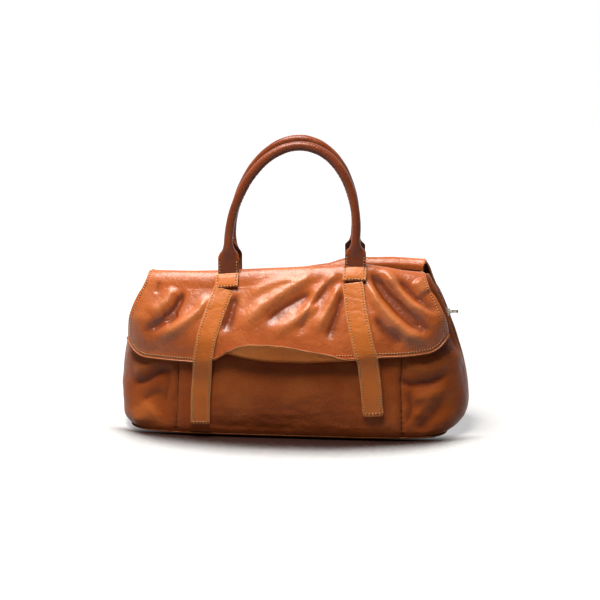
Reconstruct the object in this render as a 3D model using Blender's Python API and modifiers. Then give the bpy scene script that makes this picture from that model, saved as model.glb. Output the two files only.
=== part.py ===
"""Soft leather satchel with a front flap, two hanging straps, rolled handles and a zip over the top.

Metres, +Z up, +X to the right of the front view, +Y to the rear. The body is one family of
horizontal rings, from the base up over a front and a rear hump and down to the zip. Every
leather piece takes its place from that skin and a named clearance.
"""

import functools
import math

import bmesh
import bpy
import numpy as np
from mathutils import Matrix, Vector

COLLECTION = "leather_satchel"
HELPERS = "cutters"

# Whole bag
BODY_WIDTH = 0.4165
BODY_DEPTH = 0.154
BODY_HEIGHT = 0.194
RIGHT_END_SAG = 0.0040
RIGHT_END_TUCK = 0.0110
SIDE_LEAN = 0.0045
FRAME_SHIFT_X = -0.0012
FRAME_SHIFT_Y = 0.0025

# Sheet thicknesses and the clearance between sewn pieces
GAP = 0.0004
MERGE_DISTANCE = 0.00005
PANEL_WALL = 0.0020
LINING_WALL = 0.0008
LINING_CLEARANCE = 0.0012
LINING_FLOOR_MARGIN = 0.0095
LINING_LOW_RING = 1
LINING_TOP_RING = 10
LEATHER = 0.0014
FACING = 0.0009
STRAP_LEATHER = 0.0015
STRAP_BACKING = 0.0009
TAB_THICKNESS = 0.0030

# Bottom
FOOT_HEIGHT = 0.0025
FOOT_RADIUS = 0.0070
FOOT_CROWN_RADIUS = 0.0040
FOOT_STEPS = 16
FOOT_X_SHARE = 0.80
FOOT_Y_SHARE = 0.62
BASE_WALL = 0.0022
BOARD_WALL = 0.0025
BOARD_MARGIN = 0.0060
PLATE_STEPS = 24
WALL_BOTTOM = FOOT_HEIGHT + BASE_WALL + GAP

# Body seams and the zip opening
SEAM_X = 0.134
SEAM_X_TOP = 0.128
ZIP_OPENING = 0.030

# Each ring: height above the base, half width, half depth, squareness, opening for the zip.
# All are shares but the squareness, which is the power of the ring's outline.
RING_SHARES = (
    (0.000, 0.940, 0.950, 5.0, 0.00),
    (0.041, 0.975, 0.975, 4.2, 0.00),
    (0.104, 0.996, 0.992, 3.4, 0.00),
    (0.177, 1.000, 1.000, 2.9, 0.30),
    (0.275, 0.998, 0.990, 2.7, 0.50),
    (0.400, 0.985, 0.950, 2.6, 0.78),
    (0.534, 0.960, 0.870, 2.7, 0.98),
    (0.668, 0.925, 0.740, 3.0, 1.00),
    (0.793, 0.885, 0.580, 3.8, 0.97),
    (0.896, 0.845, 0.445, 5.0, 0.92),
    (0.962, 0.815, 0.375, 6.0, 0.86),
    (1.000, 0.797, 0.305, 7.0, 0.82),
    (1.000, 0.780, 0.235, 8.0, 0.80),
    (0.971, 0.762, 0.175, 10.0, 0.78),
)
LAST_RING = len(RING_SHARES) - 1
CREST_RING = 11.5
HUMP_RING = 8
RING_SAMPLES = 720
RING_STEP_SHARE = 0.04
FRONT_COLUMNS = 7
SIDE_COLUMNS = 6
YOKE_END_COLUMNS = 1

# Front flap and the pieces sewn over the two humps
FOLD_RING = 9.2
FLAP_LENGTH = 0.083
FLAP_CORNER = 0.026
FLAP_FLARE = 0.0030
FLAP_TOP_INSET = 0.0110
FLAP_END_INSET = 0.0205
FLAP_SHIFT_X = -0.0010
FLAP_SQUARENESS_TOP = 12.0
FLAP_WIDEST_SHARE = 0.85
FLAP_COLUMNS = 22
FLAP_ROWS = 9
FLAP_OPEN_GAP = 0.0012
FACING_MARGIN = 0.0020
YOKE_DROP = 0.019
YOKE_INNER_RING = 12.7
FOLD_GAP = 0.0002
TAB_EDGE_GAP = 0.0008

# Straps
STRAP_WIDTH = 0.023
STRAP_TOP_X = 0.077
STRAP_END_X = 0.098
STRAP_TOP_DROP = 0.0026
LEFT_STRAP_END = 0.0235
RIGHT_STRAP_END = 0.0345
STRAP_CLEARANCE = 0.0008
STRAP_ROWS = 14
STRAP_END_ROUND = 0.0017

# Tabs and handles
TAB_WIDTH = 0.0245
TAB_LENGTH = 0.0125
TAB_X = 0.0750
HANDLE_RADIUS = 0.0052
HANDLE_WALL = 0.0014
HANDLE_SLIT = 0.0005
TAB_CURL_SHARE = 0.02
SEAM_TURN_SHARE = 0.62
HANDLE_HALF_SPAN = 0.0750
HANDLE_RISE = 0.1135
HANDLE_LEAN = 0.0090
HANDLE_TOP_SPREAD = 0.0170
HANDLE_SPREAD_SHARE = 1.3
HANDLE_FOOT_LENGTH = 0.0355
HANDLE_FLARE = 0.012
HANDLE_LIFT = 0.0022
HANDLE_HINGE_GAP = 0.0011
HANDLE_STATIONS = 22
FOOT_STATIONS = 4
HANDLE_COLUMNS = 10
CORE_CLEARANCE = 0.0008

# Zip
TAPE_WALL = 0.0007
TAPE_UNDER_LEATHER = 0.0055
ZIP_LOW = 0.046
TAPE_END = 0.008
ZIP_BEND = 0.163
ZIP_INSET_LOW = 0.0042
ZIP_INSET_HIGH = 0.0034
ZIP_TOP_DROP = 0.0023
ZIP_BEAD_RADIUS = 0.0011
ZIP_CLOSED_GAP = 0.0018
ZIP_MOUTH_GAP = 0.0170
MOUTH_RUN_SHARE = 0.9
MOUTH_SWELL_SHARE = 0.7
ZIP_TOP_END = 0.020
SLIDER_HEIGHT = 0.140
SLIDER_LENGTH = 0.0100
SLIDER_PLATE = 0.0012
SLIDER_FLANGE = 0.0008
SLIDER_NECK = 0.0012
SLIDER_CLEARANCE = 0.0006
CROWN_LENGTH = 0.0062
CROWN_WIDTH = 0.0020
CROWN_HEIGHT = 0.0036
CROWN_HOLE_RADIUS = 0.00125
CROWN_HOLE_SIDES = 16
PULL_LENGTH = 0.0165
PULL_WIDTH = 0.0062
PULL_THICKNESS = 0.0014
PULL_BAR = 0.0013
PULL_EYE = 0.0048
STOP_LENGTH = 0.0040
STOP_HEIGHT = 0.0016
CUT_OVERRUN = 0.002

TAN = (0.42, 0.16, 0.06, 1.0)
DARK_TAN = (0.28, 0.09, 0.035, 1.0)
LINING_BROWN = (0.20, 0.13, 0.09, 1.0)
BOARD_GREY = (0.35, 0.31, 0.27, 1.0)
TAPE_BROWN = (0.15, 0.055, 0.03, 1.0)
METAL = (0.52, 0.49, 0.44, 1.0)
LEATHER_ROUGHNESS = 0.4
CLOTH_ROUGHNESS = 0.85
METAL_ROUGHNESS = 0.3

FRAME_SHIFT = Vector((FRAME_SHIFT_X, FRAME_SHIFT_Y, 0))


# Scene helpers


def clear_scene():
    """Removes what the file opened with."""
    for obj in list(bpy.data.objects):
        bpy.data.objects.remove(obj, do_unlink=True)


def collection(name):
    """A collection of this name, linked to the scene."""
    made = bpy.data.collections.new(name)
    bpy.context.scene.collection.children.link(made)
    return made


def material(name, colour, roughness, metallic=0):
    """A Principled material."""
    made = bpy.data.materials.new(name)
    made.use_nodes = True
    shader = made.node_tree.nodes["Principled BSDF"]
    shader.inputs["Base Color"].default_value = colour
    shader.inputs["Roughness"].default_value = roughness
    shader.inputs["Metallic"].default_value = metallic
    made.diffuse_color = colour
    return made


def new_object(name, data, finish, parts, origin=None):
    """Links an object whose data is in bag coordinates. A moving piece has its origin on its joint."""
    obj = bpy.data.objects.new(name, data)
    parts.objects.link(obj)
    data.materials.append(finish)
    place = Vector(origin) if origin is not None else Vector((0, 0, 0))
    data.transform(Matrix.Translation(-place))
    obj.location = place + FRAME_SHIFT
    return obj


def grid_mesh(name, points, outward_flip=False):
    """A quad sheet through a grid of points, rows up and columns along."""
    rows, columns = points.shape[:2]
    faces = []
    for r in range(rows - 1):
        for c in range(columns - 1):
            a = r * columns + c
            face = (a, a + columns, a + columns + 1, a + 1)
            faces.append(face[::-1] if outward_flip else face)
    mesh = bpy.data.meshes.new(name)
    mesh.from_pydata([tuple(p) for p in points.reshape(-1, 3)], [], faces)
    mesh.shade_smooth()
    return mesh


def solidify(obj, thickness, offset=-1):
    """Gives a sheet its thickness, inward from the face that is modelled."""
    wall = obj.modifiers.new("wall", "SOLIDIFY")
    wall.thickness = thickness
    wall.offset = offset
    wall.use_even_offset = True
    return wall


def sheet(name, points, thickness, finish, parts, flip=False, origin=None):
    """A solid leather sheet from a grid of points on its outer face."""
    obj = new_object(name, grid_mesh(name, points, flip), finish, parts, origin)
    solidify(obj, thickness)
    return obj


def boolean(obj, cutter, operation="DIFFERENCE"):
    """An exact Boolean on a closed mesh."""
    cut = obj.modifiers.new(operation.lower(), "BOOLEAN")
    cut.operation = operation
    cut.solver = "EXACT"
    cut.object = cutter
    return cut


# The skin: a point for each ring and each share of the way round its front half


def smooth_row(table, place):
    """A Catmull-Rom row of the table at a fractional row number."""
    rows = np.array(table)
    place = min(max(place, 0), len(rows) - 1)
    k = min(int(place), len(rows) - 2)
    f = place - k
    before, after = rows[max(k - 1, 0)], rows[min(k + 2, len(rows) - 1)]
    low, high = rows[k], rows[k + 1]
    curve = 2 * low + (high - before) * f
    curve = curve + (2 * before - 5 * low + 4 * high - after) * f**2
    curve = curve + (3 * low - before - 3 * high + after) * f**3
    return curve / 2


@functools.lru_cache(maxsize=None)
def ring(place):
    """(height, left half width, right half width, half depth, squareness, half zip opening)."""
    height, width, depth, square, opening = smooth_row(RING_SHARES, place)
    low_bulge_share = max(0, 1 - abs(height - RING_SHARES[3][0]) * 2)
    low_tuck_share = max(0, 1 - height / RING_SHARES[3][0]) ** 2
    left = BODY_WIDTH / 2 * width
    right = left + RIGHT_END_SAG * low_bulge_share - RIGHT_END_TUCK * low_tuck_share
    z = WALL_BOTTOM + (BODY_HEIGHT - WALL_BOTTOM) * height
    cut = max(GAP / 2, ZIP_OPENING / 2 * opening)
    return z, left, right, BODY_DEPTH / 2 * depth, square, cut


def lean(z):
    """How far the soft body leans to the left at a height."""
    return -SIDE_LEAN * (z - WALL_BOTTOM) / (BODY_HEIGHT - WALL_BOTTOM)


@functools.lru_cache(maxsize=None)
def ring_heights():
    """Ring numbers up to just below the crest, and their heights."""
    places = np.linspace(0, CREST_RING - 1, RING_SAMPLES)
    return places, np.array([ring(float(p))[0] for p in places])


def ring_at_height(z):
    """The ring number, below the crest, whose height is z."""
    places, heights = ring_heights()
    return float(np.interp(z, heights, places))


@functools.lru_cache(maxsize=None)
def half_ring(place):
    """The front half outline of a ring, from its right end round to its left end, and its lengths."""
    z, left, right, depth, square, _ = ring(place)
    angle = np.linspace(0, math.pi, RING_SAMPLES + 1)
    across, deep = np.cos(angle), np.sin(angle)
    width = np.where(across > 0, right, left)
    x = lean(z) + width * np.sign(across) * np.abs(across) ** (2 / square)
    y = -depth * np.abs(deep) ** (2 / square)
    points = np.stack([x, y, np.full_like(x, z)], axis=1)
    steps = np.linalg.norm(np.diff(points, axis=0), axis=1)
    lengths = np.concatenate([[0], np.cumsum(steps)])
    return points, lengths


def on_ring(place, length):
    """The point at a length along the front half outline."""
    points, lengths = half_ring(place)
    return np.array([np.interp(length, lengths, points[:, k]) for k in range(3)])


def mark_x(place, x):
    """The length along the outline to where it crosses x."""
    points, lengths = half_ring(place)
    return float(np.interp(-x, -points[:, 0], lengths))


def mark_y(place, y, right=True):
    """The length along the outline to where it leaves the end by the depth y."""
    points, lengths = half_ring(place)
    half = len(points) // 2
    if right:
        return float(np.interp(y, -points[: half + 1, 1], lengths[: half + 1]))
    return float(np.interp(-y, points[half:, 1], lengths[half:]))


def skin_normal(place, length):
    """The outward direction of the skin."""
    step_along = BODY_WIDTH / RING_SAMPLES
    above, below = min(place + RING_STEP_SHARE, LAST_RING), max(place - RING_STEP_SHARE, 0)
    total = half_ring(place)[1][-1]
    share = length / total
    up = on_ring(above, share * half_ring(above)[1][-1])
    up = up - on_ring(below, share * half_ring(below)[1][-1])
    along = on_ring(place, min(length + step_along, total))
    along = along - on_ring(place, max(length - step_along, 0))
    normal = np.cross(up, along)
    return normal / np.linalg.norm(normal)


def skin(place, length, out=0.0):
    """A point of the skin, or one that stands out from it."""
    point = on_ring(place, length)
    return point + out * skin_normal(place, length) if out else point


def skin_grid(places, marks, out=0.0):
    """A grid of the skin: for each ring, the lengths along it that marks gives."""
    return np.array([[skin(p, length, out) for length in marks(p)] for p in places])


def mirrored(points):
    """The same points on the rear side."""
    return points * np.array([1, -1, 1])


def seam_x(place):
    """How far the upright seams stand from the middle: they close in a little towards the top."""
    rise_share = min(place / CREST_RING, 1)
    return SEAM_X + (SEAM_X_TOP - SEAM_X) * rise_share


def wall_places():
    """The ring numbers of a wall's rows, from the base to the lip by the zip, finer on the hump."""
    hump = np.linspace(HUMP_RING, LAST_RING, (LAST_RING - HUMP_RING) * 2 + 1)
    return [float(p) for p in (*range(HUMP_RING), *hump)]


def end_marks(place, right):
    """From the zip's cut to an upright seam. The first step is as wide as the tape's margin."""
    side = 1 if right else -1
    seam = mark_x(place, (seam_x(place) + GAP / 2) * side)
    edge = mark_y(place, ring(place)[5], right)
    inner = edge + TAPE_UNDER_LEATHER * side
    return [edge, *np.linspace(inner, seam, SIDE_COLUMNS)]


def middle_marks(place):
    """From the right upright seam to the left one."""
    right = mark_x(place, seam_x(place) - GAP / 2)
    left = mark_x(place, -seam_x(place) + GAP / 2)
    return list(np.linspace(right, left, FRONT_COLUMNS + 1))


def all_marks(place, end_columns=0):
    """The walls' columns from end to end, without the outermost ones where a count is given."""
    right, left = end_marks(place, True), end_marks(place, False)[::-1]
    marks = right[:-1] + middle_marks(place) + left[1:]
    return marks[end_columns : len(marks) - end_columns]


# Body


def add_walls(finish, parts):
    """The three front and three back panels, which meet at sewn seams."""
    places = wall_places()
    middle = skin_grid(places, middle_marks)
    right = skin_grid(places, lambda p: end_marks(p, True))
    left = skin_grid(places, lambda p: end_marks(p, False)[::-1])
    for side, flip in (("front", False), ("back", True)):
        for name, points in (("panel", middle), ("right_panel", right), ("left_panel", left)):
            placed = mirrored(points) if flip else points
            sheet(f"{side}_{name}", placed, PANEL_WALL, finish, parts, flip)


def plate(name, inset, low, high, finish, parts):
    """A flat plate with the outline of the lowest ring."""
    half = half_ring(0)[0][:: RING_SAMPLES // PLATE_STEPS]
    outline = np.concatenate([half, mirrored(half)[-2:0:-1]])
    centre_pull = np.array([np.sign(x) * min(abs(x), inset) for x in outline[:, 0]])
    depth = np.abs(outline[:, 1]).max()
    shrink = (depth - inset) / depth
    mesh = bpy.data.meshes.new(name)
    shape = bmesh.new()
    corners = [
        shape.verts.new((x - pull, y * shrink, low))
        for (x, y, _), pull in zip(outline, centre_pull)
    ]
    face = shape.faces.new(corners)
    if face.normal.z > 0 or face.calc_area() == 0:
        face.normal_flip()
    raised = bmesh.ops.extrude_face_region(shape, geom=[face])
    top = [v for v in raised["geom"] if isinstance(v, bmesh.types.BMVert)]
    bmesh.ops.translate(shape, verts=top, vec=(0, 0, high - low))
    bmesh.ops.recalc_face_normals(shape, faces=shape.faces)
    shape.to_mesh(mesh)
    shape.free()
    return new_object(name, mesh, finish, parts)


def add_base(leather, board, parts):
    """The base leather under the walls and the stiff board that lies on it."""
    plate("base_panel", 0, FOOT_HEIGHT, FOOT_HEIGHT + BASE_WALL, leather, parts)
    plate("base_board", BOARD_MARGIN, WALL_BOTTOM, WALL_BOTTOM + BOARD_WALL, board, parts)


def foot_places():
    """Where the four studs stand under the base."""
    x, y = BODY_WIDTH / 2 * FOOT_X_SHARE, BODY_DEPTH / 2 * FOOT_Y_SHARE
    return {
        "front_left_foot": (-x, -y),
        "front_right_foot": (x, -y),
        "rear_left_foot": (-x, y),
        "rear_right_foot": (x, y),
    }


def add_feet(finish, parts):
    """Four turned metal studs with a flat face to stand on."""
    top = FOOT_HEIGHT - GAP
    profile = [(0, top), (FOOT_RADIUS, top)]
    for turn in np.linspace(0, math.pi / 2, 4):
        radius = FOOT_CROWN_RADIUS + (FOOT_RADIUS - FOOT_CROWN_RADIUS) * math.cos(turn)
        profile.append((radius, top / 2 - top / 2 * math.sin(turn)))
    profile.append((0, 0))
    for name, (x, y) in foot_places().items():
        mesh = bpy.data.meshes.new(name)
        edges = [(k, k + 1) for k in range(len(profile) - 1)]
        mesh.from_pydata([(r, 0, z) for r, z in profile], edges, [])
        foot = new_object(name, mesh, finish, parts)
        foot.location = Vector((x, y, 0)) + FRAME_SHIFT
        turned = foot.modifiers.new("turn", "SCREW")
        turned.axis = "Z"
        turned.steps = turned.render_steps = FOOT_STEPS
        turned.use_merge_vertices = True
        turned.merge_threshold = MERGE_DISTANCE


def add_lining(finish, parts):
    """The fabric bag inside: closed at the floor, slit down both ends for the zip."""
    inset = -(PANEL_WALL + LINING_CLEARANCE)
    floor = WALL_BOTTOM + BOARD_WALL + GAP + LINING_WALL
    places = [float(p) for p in range(LINING_LOW_RING, LINING_TOP_RING + 1)]
    front = skin_grid(places, lambda p: all_marks(p, 2), inset)
    floor_ring = [ring_at_height(floor)]
    bottom = skin_grid(floor_ring, lambda p: all_marks(p, 2), -LINING_FLOOR_MARGIN)
    bottom[0, :, 2] = floor
    front = np.concatenate([bottom, front])
    rows, columns = front.shape[:2]
    rear = mirrored(front)[:, ::-1]
    loops = np.concatenate([front, rear], axis=1)
    around = 2 * columns
    stop_row = int(np.searchsorted(front[:, 0, 2], ZIP_LOW - TAPE_END)) - 1
    faces = [tuple(range(around))]
    for r in range(rows - 1):
        for c in range(around):
            at_slit = c in (columns - 1, around - 1)
            if at_slit and r >= stop_row:
                continue
            a, b = r * around + c, r * around + (c + 1) % around
            faces.append((a, a + around, b + around, b))
    mesh = bpy.data.meshes.new("lining")
    mesh.from_pydata([tuple(p) for p in loops.reshape(-1, 3)], [], faces)
    mesh.shade_smooth()
    obj = new_object("lining", mesh, finish, parts)
    solidify(obj, LINING_WALL)


# Pieces sewn over the humps


def yoke_grid(drop_ring, out, inner_ring=YOKE_INNER_RING):
    """A sheet that lies over a hump, from near the zip down to a ring on the outside."""
    walls = [p for p in wall_places() if drop_ring < p < inner_ring]
    return skin_grid([drop_ring, *walls], lambda p: all_marks(p, YOKE_END_COLUMNS), out)


def yoke_out():
    """The outer face of the leather sewn over a hump, from the skin."""
    return GAP + LEATHER


def add_yokes(finish, parts):
    """The fixed top of the flap on the front hump, and the yoke on the rear hump."""
    front = yoke_grid(FOLD_RING, yoke_out())
    sheet("flap_root", front, LEATHER, finish, parts)
    rear_ring = ring_at_height(ring(FOLD_RING)[0] - YOKE_DROP / 4)
    rear = mirrored(yoke_grid(rear_ring, yoke_out()))
    sheet("back_yoke", rear, LEATHER, finish, parts, flip=True)


def tab_out():
    """The outer face of a sewn tab, from the skin."""
    return yoke_out() + GAP + TAB_THICKNESS


def tab_grid(x, top_ring):
    """A tab's outer face: a short band down the hump, ending at the top ring."""
    top = ring(top_ring)[0]
    places = [ring_at_height(z) for z in np.linspace(top - TAB_LENGTH, top, 4)]
    edges = np.linspace(x + TAB_WIDTH / 2, x - TAB_WIDTH / 2, 3)
    return skin_grid(places, lambda p: [mark_x(p, edge) for edge in edges], tab_out())


def tab_ring():
    """The ring at the top edge of the sewn tabs, so that their lower edge meets the fold."""
    return ring_at_height(ring(FOLD_RING)[0] + TAB_LENGTH + TAB_EDGE_GAP)


def add_tabs(finish, parts):
    """The stitched ends of the handles, two in front and two behind."""
    for side, x in (("left", -TAB_X), ("right", TAB_X)):
        points = tab_grid(x, tab_ring())
        front = sheet(f"front_{side}_tab", points, TAB_THICKNESS, finish, parts)
        rear = sheet(
            f"rear_{side}_tab", mirrored(points), TAB_THICKNESS, finish, parts, flip=True
        )
        for tab in (front, rear):
            edge = tab.modifiers.new("rounded", "BEVEL")
            edge.width = TAB_THICKNESS / 6
            edge.segments = 1
            edge.limit_method = "ANGLE"


# Flap and straps


def flap_top():
    """The height of the flap's upper edge, just under the fold."""
    return ring(FOLD_RING)[0] - FOLD_GAP


def flap_half_width(down_share):
    """The flap widens quickly below the fold and then hangs nearly straight."""
    widening = math.sin(min(down_share / FLAP_WIDEST_SHARE, 1) * math.pi / 2)
    top = ring(FOLD_RING)[1] - FLAP_TOP_INSET
    return top + (BODY_WIDTH / 2 - FLAP_END_INSET - top) * widening


def flap_middle(z):
    """The flap's middle line, which leans with the body."""
    return lean(z) + FLAP_SHIFT_X


def flap_base(x_share, down_share):
    """A point on the flap's hidden face. x_share runs from -1 to 1, down_share to the hem."""
    half = flap_half_width(down_share)
    over = max(0, abs(x_share) * half - (half - FLAP_CORNER))
    corner = FLAP_CORNER - math.sqrt(max(FLAP_CORNER**2 - over**2, 0))
    z = flap_top() - down_share * (FLAP_LENGTH - corner)
    x = x_share * half + flap_middle(z)
    _, left, right, depth, square, _ = ring(ring_at_height(z))
    square = square + (FLAP_SQUARENESS_TOP - square) * (1 - down_share) ** 2
    width = (right if x > 0 else left) + FLAP_OPEN_GAP * 2
    inside = min(abs(x - lean(z)) / width, 1)
    y = -depth * (1 - inside**square) ** (1 / square)
    flare = FLAP_FLARE * down_share**2 + FLAP_OPEN_GAP
    return np.array([x, y - flare, z])


def flap_face(x_share, down_share, out):
    """A point that stands out from the flap's hidden face, square to it."""
    step = 1 / FLAP_COLUMNS / 4
    left, right = max(x_share - step, -1), min(x_share + step, 1)
    low, high = min(down_share + step, 1), max(down_share - step, 0)
    along = flap_base(left, down_share) - flap_base(right, down_share)
    up = flap_base(x_share, high) - flap_base(x_share, low)
    normal = np.cross(up, along)
    return flap_base(x_share, down_share) + out * normal / np.linalg.norm(normal)


def flap_out():
    """The flap's outer face, from its hidden face: the facing, then the leather."""
    return GAP + FACING + GAP + LEATHER


def flap_axis():
    """A point on the line that the flap turns about, in the middle of its leather's upper edge."""
    return flap_face(0, 0, flap_out() - LEATHER / 2) * np.array([0, 1, 1])


def flap_grid(out):
    """The grid of a flap layer, rows from the hem up, columns from right to left."""
    even = np.linspace(1, -1, FLAP_COLUMNS + 1)
    shares = (np.sin(even * math.pi / 2) + even) / 2
    rows = np.linspace(1, 0, FLAP_ROWS + 1)
    return np.array([[flap_face(share, down, out) for share in shares] for down in rows])


def cut_back(edge, beside, margin):
    """A grid's edge, moved in towards the row or column beside it."""
    step = beside - edge
    return edge + step * margin / np.linalg.norm(step, axis=1)[:, None]


def add_flap(leather, facing, parts):
    """The flap's outer leather and the facing behind it, which hang from the fold."""
    axis = flap_axis()
    sheet("flap_leather", flap_grid(flap_out()), LEATHER, leather, parts, origin=axis)
    inner = flap_grid(GAP + FACING)
    inner[0] = cut_back(inner[0], inner[1], FACING_MARGIN)
    inner[:, 0] = cut_back(inner[:, 0], inner[:, 1], FACING_MARGIN)
    inner[:, -1] = cut_back(inner[:, -1], inner[:, -2], FACING_MARGIN)
    sheet("flap_facing", inner, FACING, facing, parts, origin=axis)


def flap_share(x, down_share):
    """Where x lies across the flap, from -1 to 1."""
    middle = flap_middle(flap_top() - down_share * FLAP_LENGTH)
    return (x - middle) / flap_half_width(down_share)


def strap_path(side):
    """Points down the middle of a strap's outer face to its free end, and its slope across."""
    layers = STRAP_LEATHER + GAP + STRAP_BACKING
    over_flap = flap_out() + STRAP_CLEARANCE + layers
    top = flap_top() - STRAP_TOP_DROP
    hem = flap_top() - FLAP_LENGTH
    body_face = -BODY_DEPTH / 2 - STRAP_CLEARANCE - layers
    end = RIGHT_STRAP_END if side > 0 else LEFT_STRAP_END
    points, slopes = [], []
    for z in np.linspace(top, end, STRAP_ROWS + 1):
        run_share = (top - z) / (top - end)
        x = side * (STRAP_TOP_X + (STRAP_END_X - STRAP_TOP_X) * run_share)
        edges = []
        for edge in (x, x + STRAP_WIDTH / 2, x - STRAP_WIDTH / 2):
            downs = np.linspace(1, 0, STRAP_ROWS * 2)
            line = np.array([flap_face(flap_share(edge, d), d, over_flap) for d in downs])
            edges.append(float(np.interp(z, line[:, 2], line[:, 1])))
        y = edges[0] if z > hem else min(edges[0], points[-1][1], body_face)
        points.append((x, y, z))
        slopes.append((edges[1] - edges[2]) / STRAP_WIDTH)
    return np.array(points)[::-1], slopes[::-1]


def strap_grid(side, inset):
    """A strap layer: rows up from the free end, straight across its width."""
    path, slopes = strap_path(side)
    tangent = np.gradient(path, axis=0)
    rows = []
    for k, (point, along, slope) in enumerate(zip(path, tangent, slopes)):
        along = along / np.linalg.norm(along)
        across = np.array([1, slope, 0])
        across = across - along * across.dot(along)
        across = across / np.linalg.norm(across)
        inward = np.cross(along, across)
        half = STRAP_WIDTH / 2 - (STRAP_END_ROUND if k == 0 else 0)
        rows.append([point + across * o + inward * inset for o in (half, 0, -half)])
    return np.array(rows)


def add_straps(leather, backing, parts):
    """The two straps, each of a face leather and a thinner backing sewn to it."""
    for name, side in (("left", -1), ("right", 1)):
        axis = strap_path(side)[0][-1] * np.array([0, 1, 1])
        face = strap_grid(side, 0)
        back = strap_grid(side, STRAP_LEATHER + GAP)
        sheet(f"{name}_strap_leather", face, STRAP_LEATHER, leather, parts, origin=axis)
        sheet(f"{name}_strap_backing", back, STRAP_BACKING, backing, parts, origin=axis)


# Handles


def handle_axis():
    """A point on the fold that the front handle turns about, just above its sewn tabs."""
    place = tab_ring()
    foot = skin(place, mark_x(place, TAB_X), yoke_out() + GAP + TAB_THICKNESS / 2)
    return np.array([0, foot[1], foot[2] + HANDLE_HINGE_GAP])


def handle_route():
    """Stations from the left tab over the arch to the right tab: centre, tangent, height share."""
    axis = handle_axis()
    spring = axis[2] + HANDLE_FOOT_LENGTH
    centre = []
    for z in np.linspace(axis[2], spring, FOOT_STATIONS + 1)[:-1]:
        centre.append((-HANDLE_HALF_SPAN, 0, z))
    for turn in np.linspace(math.pi, 0, HANDLE_STATIONS + 1):
        rise_share = math.sin(turn)
        x = HANDLE_HALF_SPAN * math.cos(turn) + HANDLE_LEAN * rise_share
        centre.append((x, rise_share, spring + HANDLE_RISE * rise_share))
    for z in np.linspace(spring, axis[2], FOOT_STATIONS + 1)[1:]:
        centre.append((HANDLE_HALF_SPAN, 0, z))
    points = np.array(centre)
    rise = (points[:, 2] - axis[2]) / (HANDLE_RISE + HANDLE_FOOT_LENGTH)
    points[:, 1] = axis[1] + (-HANDLE_TOP_SPREAD - axis[1]) * rise**HANDLE_SPREAD_SHARE
    points[:, 1] -= HANDLE_LIFT * np.sin(np.clip(rise * 4, 0, 1) * math.pi)
    tangent = np.gradient(points, axis=0)
    tangent /= np.linalg.norm(tangent, axis=1)[:, None]
    return points, tangent


def curl_share(height_above_axis):
    """0 where the sleeve lies flat as a tab, 1 where it is rolled into a tube."""
    start = HANDLE_FOOT_LENGTH - HANDLE_FLARE
    share = min(max((height_above_axis - start) / HANDLE_FLARE, 0), 1)
    return share * share * (3 - 2 * share)


def sleeve_section(curl, rolled_width, flat_width):
    """A strip across the handle, rolled by the curl: (across, outward) pairs."""
    width = flat_width + (rolled_width - flat_width) * curl
    full_turn = rolled_width / HANDLE_RADIUS
    bend = full_turn * max(curl, TAB_CURL_SHARE)
    radius = width / bend
    shift = HANDLE_RADIUS * curl
    angles = np.linspace(-bend / 2, bend / 2, HANDLE_COLUMNS + 1)
    return [(radius * math.sin(a), radius * (math.cos(a) - 1) + shift) for a in angles]


def sleeve_grid():
    """The front handle's outer face: a leather strip, flat at both tabs and rolled between."""
    axis = handle_axis()
    points, tangents = handle_route()
    rolled_width = 2 * math.pi * HANDLE_RADIUS - HANDLE_SLIT
    rows = []
    for centre, tangent in zip(points, tangents):
        height = centre[2] - axis[2]
        curl = curl_share(height)
        rear = np.array([0, 1, 0]) - tangent * tangent[1]
        rear = rear / np.linalg.norm(rear)
        outside = np.cross(tangent, rear)
        above = max(height - HANDLE_FOOT_LENGTH, 0) / HANDLE_RISE
        twist = math.pi / 2 * min(above / SEAM_TURN_SHARE, 1)
        seam = rear * math.cos(twist) - outside * math.sin(twist)
        face = -seam
        across = np.cross(face, tangent)
        section = sleeve_section(curl, rolled_width, TAB_WIDTH)
        rows.append([centre + across * a + face * b for a, b in section])
    return np.array(rows)


def add_handles(leather, core, parts):
    """Front and rear handles, each a rolled sleeve over a round core."""
    axis = handle_axis()
    grid = sleeve_grid()
    points, _ = handle_route()
    rolled = [p for p in points if curl_share(p[2] - axis[2]) > 0.97]
    radius = HANDLE_RADIUS - HANDLE_WALL - CORE_CLEARANCE
    for side, sign in (("front", 1), ("rear", -1)):
        turn = np.array([1, sign, 1])
        origin = axis * turn
        sheet(
            f"{side}_handle_sleeve",
            grid * turn,
            HANDLE_WALL,
            leather,
            parts,
            flip=sign < 0,
            origin=origin,
        )
        tube(f"{side}_handle_core", np.array(rolled) * turn, radius, 1, core, parts, origin)


def tube(name, points, radius, resolution, finish, parts, origin=None):
    """A round tube along a polyline, with closed ends."""
    curve = bpy.data.curves.new(name, "CURVE")
    curve.dimensions = "3D"
    curve.bevel_depth = radius
    curve.bevel_resolution = resolution
    curve.use_fill_caps = True
    spline = curve.splines.new("POLY")
    spline.points.add(len(points) - 1)
    for target, point in zip(spline.points, points):
        target.co = (*point, 1)
        target.radius = 1
    return new_object(name, curve, finish, parts, origin)


# Zip


def zip_line(height):
    """How far out the zip lies from the body's middle on a straight end run, at a height."""
    low, high = ring(ring_at_height(ZIP_LOW)), ring(ring_at_height(ZIP_BEND))
    x_low, x_high = low[1] - ZIP_INSET_LOW, high[1] - ZIP_INSET_HIGH
    return x_low + (x_high - x_low) * (height - ZIP_LOW) / (ZIP_BEND - ZIP_LOW)


def bend(start, control, end, steps):
    """Points of a quadratic bend, without its first point."""
    shares = np.linspace(0, 1, steps + 1)[1:, None]
    return start * (1 - shares) ** 2 + control * 2 * shares * (1 - shares) + end * shares**2


def zip_top():
    """The height of the zip over the top, a little under the leather's edges."""
    return ring(LAST_RING)[0] - ZIP_TOP_DROP


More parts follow.
